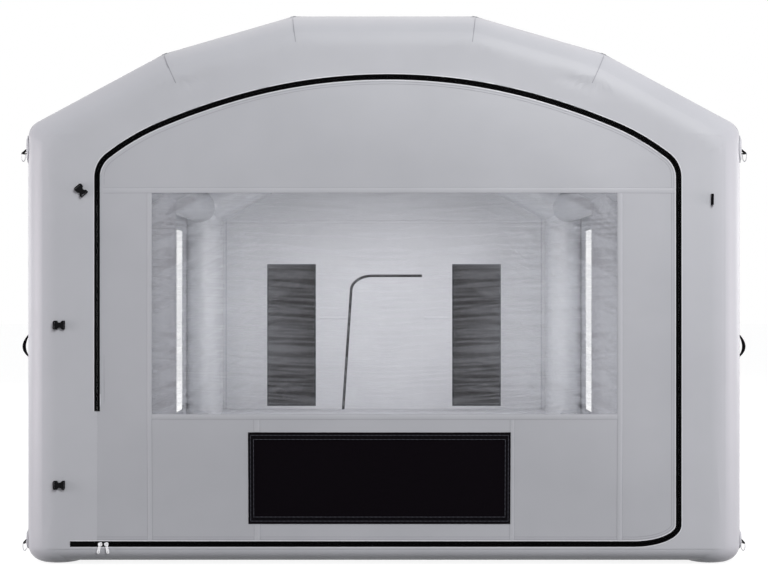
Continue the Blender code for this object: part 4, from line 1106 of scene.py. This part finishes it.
# %% Run both tapes on past the hinge
tail_line = [Vector((DOOR_LEFT - GAP, DOOR_BOTTOM)), Vector((DOOR_LEFT - ZIP_TAIL, DOOR_BOTTOM))]
finish(flat_strip(tail_line, -TAPE, TAPE, TAPE_THICK, on_front, base=GAP), "front_zip_tail",
       zip_nylon)
finish(flat_strip(tail_line, -CHAIN, CHAIN, 0.0024, on_front, base=TOOTH_BASE), "front_zip_tail_chain",
       zip_nylon)
finish(flat_strip(tail_line, -TAPE - EDGE, TAPE + EDGE, EDGE_THICK, on_front, base=EDGE_BASE),
       "front_zip_tail_edge", edge_tape)
print("zip tail is", ZIP_TAIL, "m long")

# %% [markdown]
# ## The front wall and door
#
# The front wall is a band of cloth bent round the door, and the door panel fills the zip's loop.
# Both could be cut from one sheet with the knife tool. Here the wall's hole and the panel's
# outline are the zip's own line, moved 7 mm to either side, so the slot between them is even all
# the way. The wall laps 70 mm past the middle of the arch's tube, wide enough for a weld to hold.

# %% Hang the front wall
WALL_LAP, WALL_BAND = 0.07, (0.42, 8.6)
wall_hole = offset_path(ZIP, -REVEAL)
wall_hole[-1].x = DOOR_LEFT - GAP / 2
wall_hole += [Vector((DOOR_LEFT - GAP / 2, HINGE_TOP))]
wall_edge = roof_line(ARCH_DEPTH - WALL_LAP, SILL_Z)
front_sheet = finish(cloth([wall_edge, wall_hole], on_front, pitch=0.04), "front_sheet", tube_cloth,
                     stands_for="front_wall")
declare(front_sheet, [wall_edge, wall_hole], flat=WALL_BAND)

# %% Hang the door panel
PAD_SIDE, PAD_TOP = 0.020, 0.030
panel = offset_path(ZIP, REVEAL)
panel[-1].x = DOOR_LEFT + GAP / 2
panel += [Vector((DOOR_LEFT + GAP / 2, HINGE_TOP))]
cut = [panel, box_line(*GLASS), box_line(*inset(FILTER, PAD_SIDE - GAP, PAD_TOP - GAP))]
door = finish(cloth(cut, on_front, pitch=0.08), "door_sheet", wall_cloth, body="front_door",
              stands_for="front_door")
declare(door, cut)

# %% [markdown]
# ## Welds, hems and the arch's seams
#
# The door is welded from panels, and each weld is a lapped band about 28 mm wide that catches
# the light along its edges. Bands could be lines in a material, but real ones stand up by a
# millimetre, and a side view shows it. So each is a thin strip on the same surface as the door,
# with a thin dark line of painted shadow along both edges, drawn 3 mm wide so that it shows.

# %% Weld a band with its two lines of painted shadow
LAP, SHADOW_LINE = 0.028, 0.0015


def weld(name, start, end, width=LAP, body="front_door", place=on_front, rise=SEAM_RISE):
    line = [Vector(start), Vector(end)]
    # Along both edges of the band runs a thin dark strip of painted shadow.
    for n, edge in enumerate((-width / 2, width / 2)):
        finish(flat_strip(line, edge - SHADOW_LINE, edge + SHADOW_LINE, rise * 0.6, place, base=0.0002),
               f"{name}_edge_{n}", seam_shadow, body=body)
    finish(flat_strip(line, -width / 2, width / 2, rise, place), name, seam_cloth, body=body)


# %% Weld the door's panels
# The heights of the level seams, then the places of the upright ones from left to right.
TOP_SEAM, SILL_SEAM, LOW_SEAM = 2.0706, 0.824, 0.808
LEFT_SEAM, LOW_LEFT, LOW_RIGHT, RIGHT_SEAM = -1.2915, -0.70, 0.706, 1.300
head, foot = TOP_SEAM - 0.016, DOOR_BOTTOM + TAPE + 0.007
start, end = DOOR_LEFT + TAPE + 0.006, DOOR_RIGHT - TAPE - 0.006
weld("door_weld_top", (start, TOP_SEAM), (end, TOP_SEAM), rise=0.0004)
weld("door_weld_left", (LEFT_SEAM, head), (LEFT_SEAM, foot), width=0.025, rise=0.0011)
weld("door_weld_right", (RIGHT_SEAM, head), (RIGHT_SEAM, foot), rise=0.0011)
weld("door_weld_sill", (-1.282, SILL_SEAM), (1.286, SILL_SEAM), rise=0.0005)
weld("door_weld_low_left", (LOW_LEFT, LOW_SEAM), (LOW_LEFT, FILTER[3] + 0.001), width=0.032)
weld("door_weld_low_right", (LOW_RIGHT, LOW_SEAM), (LOW_RIGHT, foot), width=0.024)
weld("door_weld_below_filter", (LOW_LEFT, FILTER[2] - 0.001), (LOW_LEFT, foot), width=0.032)
print("door seams at", TOP_SEAM, SILL_SEAM, LOW_SEAM, "and", LEFT_SEAM, LOW_LEFT, LOW_RIGHT, RIGHT_SEAM)

# %% Stitch a hem inside the zip
# The line next to the zip starts on the crown, left of its middle, and the other at the hinge.
HEM_WIDE, HEM_START, HEMS = 0.0025, 40, (0.0255, 0.0380)
# Each hem line is a thin dark strip of painted shadow along the hem's edge.
for n, (run, start) in enumerate(((ZIP[HEM_START:], HEMS[0]), (ZIP, HEMS[1]))):
    finish(flat_strip(run, start, start + HEM_WIDE, 0.0007, on_front), f"door_hem_{n}", seam_shadow,
           body="front_door")
print("hems", [round(start - TAPE, 4) for start in HEMS], "m inside the zip tape")

# %% Draw the arch's welds on the front
# Each roof corner has a weld across the tube: where it is, how it leans, and how far it runs.
ARCH_WELD_HALF, ARCH_WELD_START = 0.0020, 0.022
low_corner, top_corner = (TOP_PANEL / 2 + UPPER_RUN, HEIGHT - UPPER_DROP), (TOP_PANEL / 2, HEIGHT)
arch_welds = [(-1, low_corner, 25.0, 0.222), (-1, top_corner, 8.1, 0.17),
              (1, top_corner, 8.1, 0.17), (1, low_corner, 25.0, 0.222)]
# Each weld's line is a thin dark strip of painted shadow, in the groove where the weld pulls the tube in.
for n, (side, (x, z), lean, run) in enumerate(arch_welds):
    way = Vector((-side * math.sin(math.radians(lean)), -math.cos(math.radians(lean))))
    line = [Vector((side * x, z)) + way * ARCH_WELD_START, Vector((side * x, z)) + way * run]
    finish(flat_strip(line, -ARCH_WELD_HALF, ARCH_WELD_HALF, 0.0007, on_front, base=-0.0002, step=0.01),
           f"arch_weld_front_{n}", seam_shadow)
print("arch welds", len(arch_welds))

# %% [markdown]
# ## The window
#
# The film is welded behind the opening with a 15 mm lap. It could be one flat face, but it would
# then cut through the filled-out door, so it is laid by the door's own function, 2.3 mm further
# back, and follows its swell.

# %% Set the window film
left, right, low, high = GLASS
film = finish(cloth([box_line(*inset(GLASS, -FILM_LAP))], lambda u, v, h: on_front(u, v, h - RIND),
                    thick=FILM), "window_film", window_film, body="front_door",
              stands_for="front_window")
print("window film", [round(v, 3) for v in film.dimensions])

# %% [markdown]
# ## The filters
#
# A filter is a pad of black fibre in a sewn border with two thin grey bindings. The pad is fuller
# in the middle than at its edge. A box with rounded edges would look hard, so the pad is a grid
# whose front swells by a power curve, nearly flat in the middle and quick at the rim.

# %% Make a padded rectangle on a wall
def pad(name, box, place, thick, crown, material, body, node):
    left, right, low, high = box
    across, up = 24, 12 if right - left > high - low else 36

    def at(i, j, h):
        s, t = i / across, j / up
        full = (1 - (2 * s - 1) ** 6) * (1 - (2 * t - 1) ** 6)
        return place(left + (right - left) * s, low + (high - low) * t, crown * full if h == 0 else h)

    bm = bmesh.new()
    rims = []
    for h in (0.0, -thick):
        grid = [[bm.verts.new(at(i, j, h)) for i in range(across + 1)] for j in range(up + 1)]
        for j in range(up):
            for i in range(across):
                bm.faces.new((grid[j][i], grid[j][i + 1], grid[j + 1][i + 1], grid[j + 1][i]))
        rims.append(grid[0] + [row[-1] for row in grid[1:]] + grid[-1][-2::-1]
                    + [row[0] for row in grid[-2:0:-1]])
    for i in range(len(rims[0])):
        j = (i + 1) % len(rims[0])
        bm.faces.new((rims[0][i], rims[0][j], rims[1][j], rims[1][i]))
    piece = finish(bm, name, material, body=body, stands_for=node)
    print(name, round(right - left, 3), "by", round(high - low, 3))


# %% Sew a border round a filter
BORDER, BORDER_THICK, BINDING, BINDING_THICK, BINDING_BASE = 0.030, 0.0030, 0.0035, 0.0010, 0.0032


def box_band(outer, inner, rise, place, base):
    """A flat band between two boxes, which need not be as wide on every side."""
    profile = [(0, base), (0, base + rise * 0.5), (0.03, base + rise),
               (0.97, base + rise), (1, base + rise * 0.5), (1, base)]
    edges = [[Vector(p) for p in box_line(*box)] for box in (outer, inner)]
    rings = []
    for k in range(4):
        for i in range(16):
            a, b = [edge[k].lerp(edge[(k + 1) % 4], i / 16) for edge in edges]
            rings.append([place(*a.lerp(b, t), h) for t, h in profile])
    return loft(rings, closed=True)


def border(name, box, place, body, node=None, high=BORDER):
    """The sewn border, with a binding along its middle and one along its inner edge."""
    finish(box_band(box, inset(box, BORDER, high), BORDER_THICK, place, GAP), name, webbing,
           body=body, stands_for=node)
    for n, share in enumerate((0.36, 0.93)):
        line = inset(box, BORDER * share, high * share)
        finish(box_band(line, inset(line, BINDING), BINDING_THICK, place, BINDING_BASE),
               f"{name}_binding_{n}", piping, body=body)


# %% Build the front filter
# The pad is set back a little behind its border, which is higher than it is wide.
PAD_BACK, PAD_THICK, PAD_CROWN, BORDER_HIGH = 0.0008, 0.010, 0.0006, 0.040
pad("filter_pad_front", inset(FILTER, PAD_SIDE, PAD_TOP), lambda u, v, h: on_front(u, v, h - PAD_BACK),
    PAD_THICK, PAD_CROWN, front_fibre, "front_door", "front_filter_pad")
border("filter_border_front", FILTER, on_front, "front_door", "front_filter_frame", high=BORDER_HIGH)

# %% [markdown]
# ## The back wall
#
# The back has a small door with a slanted zip and two tall filters. It is seen from inside, so
# what is sewn on it has to show there too: the filters' linings, and a lapped seam above the
# window's height and another between the filters. Those could be drawn in the wall's material,
# but a strip keeps a sharp edge from near and far. So they are thin strips that the same function
# lays on the wall's inner face.

# %% Hang the back wall
BACK_LOW = BEAM_Z + 0.174
BACK_FILTER_X, BACK_FILTER_HALF, BACK_FILTER_HIGH = 0.949, 0.2515, 1.458
BACK_FILTERS = {label: (side * BACK_FILTER_X - BACK_FILTER_HALF, side * BACK_FILTER_X + BACK_FILTER_HALF,
                        BACK_LOW, BACK_LOW + BACK_FILTER_HIGH)
                for label, side in (("left", -1), ("right", 1))}
back_hole = offset_path(BACK_ZIP, -BACK_REVEAL)
back_hole[0].x = back_hole[-1].x = BACK_HINGE + GAP / 2
filter_holes = [box_line(*inset(box, PAD_SIDE - GAP)) for box in BACK_FILTERS.values()]
cut = [roof_line(ARCH_DEPTH, BEAM_Z), back_hole] + filter_holes
back_sheet = finish(cloth(cut, on_back), "back_sheet", wall_cloth, stands_for="back_wall")
declare(back_sheet, cut)

# %% Hang the back door
back_panel = offset_path(BACK_ZIP, BACK_REVEAL)
back_panel[0].x = back_panel[-1].x = BACK_HINGE - GAP / 2
small_door = finish(cloth([back_panel], on_back), "back_door_sheet", wall_cloth, body="back_door",
                    stands_for="back_door")
declare(small_door, [back_panel])


# %% Build the back filters
def inside_back(u, v, h=0.0):
    """A place on the inner face of the back wall, h into the booth."""
    return on_back(u, v, -CLOTH - h)


BACK_PAD_THICK, BACK_PAD_CROWN = 0.012, 0.0004
# A black lining frames each filter inside, with a line of grey stitching on it.
linings = (("lining", -0.032, 0.018, 0.0012, webbing), ("stitching", -0.014, -0.009, 0.0016, piping))
for label, box in BACK_FILTERS.items():
    pad(f"filter_pad_{label}", inset(box, PAD_SIDE), on_back, BACK_PAD_THICK, BACK_PAD_CROWN,
        back_fibre, "booth", f"back_filter_{label}")
    border(f"filter_border_{label}", box, on_back, "booth")
    for name, low, high, rise, material in linings:
        finish(flat_strip(box_line(*inset(box, PAD_SIDE)), low, high, rise, inside_back, closed=True),
               f"filter_{name}_{label}", material)

# %% Weld the back wall's seams, and paint the shade beside its columns
# A strip of painted shadow, where each rear column meets the wall, stands 20 mm inside the column and is
# 16 mm wide.
COLUMN_SHADE_IN, COLUMN_SHADE_HALF, COLUMN_SHADE_TOP = 0.020, 0.008, 2.30
for label, side in (("left", -1), ("right", 1)):
    edge = side * (ARCH_X - TUBE - COLUMN_SHADE_IN)
    line = [Vector((edge, BEAM_Z)), Vector((edge, COLUMN_SHADE_TOP))]
    finish(flat_strip(line, -COLUMN_SHADE_HALF, COLUMN_SHADE_HALF, 0.0008, inside_back),
           f"back_weld_side_{label}", seam_shadow)
# The lapped seams: their height, and the stretches that the small door leaves free.
seams = {"upper": (2.215, [(-1.60, 1.60)]), "middle": (1.2325, [(-0.66, -0.375), (0.41, 0.66)])}
for name, (height, spans) in seams.items():
    for n, (a, b) in enumerate(spans):
        weld(f"back_weld_{name}_{n}", (a, height), (b, height), body="booth", place=inside_back)
print("back seams at", [height for height, _ in seams.values()])

# %% [markdown]
# ## Handle and tie-back loop
#
# Both are folded straps of black webbing. The handle is sewn flat at both ends and bows out
# between them, padded to a fuller grip. A curve with a flat profile could make it, but its
# thickness would stay the same all along. So rings are set along the bow, and each one has its
# own thickness. The loop is one strap folded in half, sewn to the front wall by its two ends.

# %% Bend a strap into a handle
HANDLE_Z, HANDLE_Y, HANDLE_SPAN, HANDLE_BOW, GRIP = 1.209, 0.032, 0.065, 0.031, 0.018
STRAP, STRAP_HALF, STRAP_BASE, HANDLE_RINGS, HANDLE_SIDES = 0.0022, 0.014, 0.0011, 48, 20


def handle_rows():
    """How far up, how far out and how thick the strap is along its length, sewn ends included."""
    rows = []
    for i in range(HANDLE_RINGS + 1):
        t = -0.25 + 1.5 * i / HANDLE_RINGS
        out, thick = STRAP_BASE, STRAP
        if 0 <= t <= 1:
            lift = math.sin(math.pi * t ** 1.15)
            out = STRAP_BASE + (HANDLE_BOW - STRAP_BASE) * lift ** 0.8
            thick = 2 * STRAP + (GRIP - 2 * STRAP) * lift
        rows.append((HANDLE_SPAN - 2 * HANDLE_SPAN * t, out, thick))
    return rows


def handle(name, side, node):
    rows, rings = handle_rows(), []
    for i, (up, out, thick) in enumerate(rows):
        a, b = rows[max(i - 1, 0)], rows[min(i + 1, len(rows) - 1)]
        way = Vector((b[1] - a[1], b[0] - a[0])).normalized()
        across = Vector((-way.y, way.x))
        ring = []
        for k in range(HANDLE_SIDES):
            turn = 2 * math.pi * k / HANDLE_SIDES
            wide = STRAP_HALF * math.copysign(abs(math.cos(turn)) ** 0.6, math.cos(turn))
            deep = thick / 2 * math.copysign(abs(math.sin(turn)) ** 0.8, math.sin(turn))
            p = Vector((WIDTH / 2 + GAP + out, HANDLE_Z + up)) + across * deep
            ring.append(Vector((side * p.x, -ARCH_Y + HANDLE_Y + wide, p.y)))
        rings.append(ring)
    piece = finish(loft(rings), name, webbing, stands_for=node)
    print(name, "stands out", round(piece.dimensions.x, 4), "m")


for label, side in (("left", -1), ("right", 1)):
    handle(f"strap_handle_{label}", side, f"handle_{label}")


# %% Fold a strap into the tie-back loop
LOOP_HALF, LOOP_DEPTH, LOOP_Z, LOOP_HIGH = 0.00625, 0.022, 2.021, 0.062


def fold_loop(name):
    """A strap on edge: up one side, round a half circle and down the other, seen from above."""
    half, straight = LOOP_HALF, LOOP_DEPTH - LOOP_HALF
    outer = [Vector((half, 0)), Vector((half, straight))]
    outer += [Vector((half * math.cos(a), straight + half * math.sin(a)))
              for a in (math.pi * i / 16 for i in range(1, 16))]
    outer += [Vector((-half, straight)), Vector((-half, 0))]
    inner = offset_path(outer, -STRAP)
    inner[0].y = inner[-1].y = 0
    x = ARCH_X - half - GAP
    rings = []
    for k in range(9):
        up = LOOP_Z - LOOP_HIGH / 2 + LOOP_HIGH * k / 8
        rings.append([Vector((x + p.x, -LENGTH / 2 - GAP - p.y, up)) for p in outer + inner[::-1]])
    piece = finish(loft(rings), name, webbing, stands_for="webbing_loop")
    print(name, [round(v, 4) for v in piece.dimensions])


fold_loop("tie_back_loop")

# %% [markdown]
# ## Buckles, sliders and anchors
#
# The buckles are moulded and the sliders cast, so their solids already have the right shape and
# only their edges are too sharp. Each could be modelled again, but a copy of the solid keeps
# every barb and slot where the joints need them. A bevel rounds it by half a millimetre. An anchor
# is a round welded patch with a strap through it that holds a steel ring for a guy line.

# %% Copy a solid and soften its edges
SOFT, PULL_SOFT, PATCH_SOFT = 0.0005, 0.0004, 0.0003


def softened(name, node, width, material, body):
    """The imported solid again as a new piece, its sharp edges rounded as moulding or casting does."""
    bm = bmesh.new()
    bm.from_mesh(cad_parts[node].data)
    bmesh.ops.remove_doubles(bm, verts=bm.verts, dist=1e-6)
    bmesh.ops.dissolve_limit(bm, angle_limit=math.radians(1), verts=bm.verts, edges=bm.edges)
    piece = finish(bm, name, material, body=body, stands_for=node)
    bevel = piece.modifiers.new("soft_edges", "BEVEL")
    bevel.width, bevel.segments = width, 2
    bevel.limit_method, bevel.angle_limit = "ANGLE", math.radians(30)
    return piece


# %% Soften the buckles and the zip sliders
for level in ("top", "middle", "bottom"):
    softened(f"clip_socket_{level}", f"buckle_female_{level}", SOFT, acetal, "booth")
    softened(f"clip_prongs_{level}", f"buckle_male_{level}", SOFT, acetal, f"buckle_male_{level}")
for label, slider, tab in (("left", "front_slider_left", "front_pull_left"),
                           ("right", "front_slider_right", "front_pull_right"),
                           ("back", "back_slider", "back_pull")):
    softened(f"slider_{label}", slider, SOFT, nickel, slider)
    softened(f"pull_{label}", tab, PULL_SOFT, nickel, tab)

# %% Soften the anchors
# The strap that holds the ring is black webbing, and stands further out than the patch does.
PATCH_TOP = 0.0097
for label in ("left", "right"):
    for level in ("high", "low"):
        patch = softened(f"anchor_patch_{label}_{level}", f"anchor_{label}_{level}", PATCH_SOFT,
                         [tube_cloth, webbing], "booth")
        for face in patch.data.polygons:
            face.material_index = int(abs(face.center.x) > WIDTH / 2 + PATCH_TOP)
        print(patch.name, sum(face.material_index for face in patch.data.polygons), "faces of strap")

# %% [markdown]
# ## Last touches
#
# The rings, the valve and its cap are smooth enough as solids, so they keep their mesh and only
# get their finish. Only the filled-out door, by 15 mm, and the rippled roof with its tapes, by
# 3 mm, stand past the solids' own box.

# %% Give the carried-over solids their finish
plain = [(f"d_ring_{label}_{level}", steel) for label in ("left", "right") for level in ("high", "low")]
for node, material in plain + [("valve_body", acetal), ("valve_cap", acetal)]:
    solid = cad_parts[node]
    solid.data.materials.clear()
    solid.data.materials.append(material)
print("solids shown as they are", len(plain) + 2)
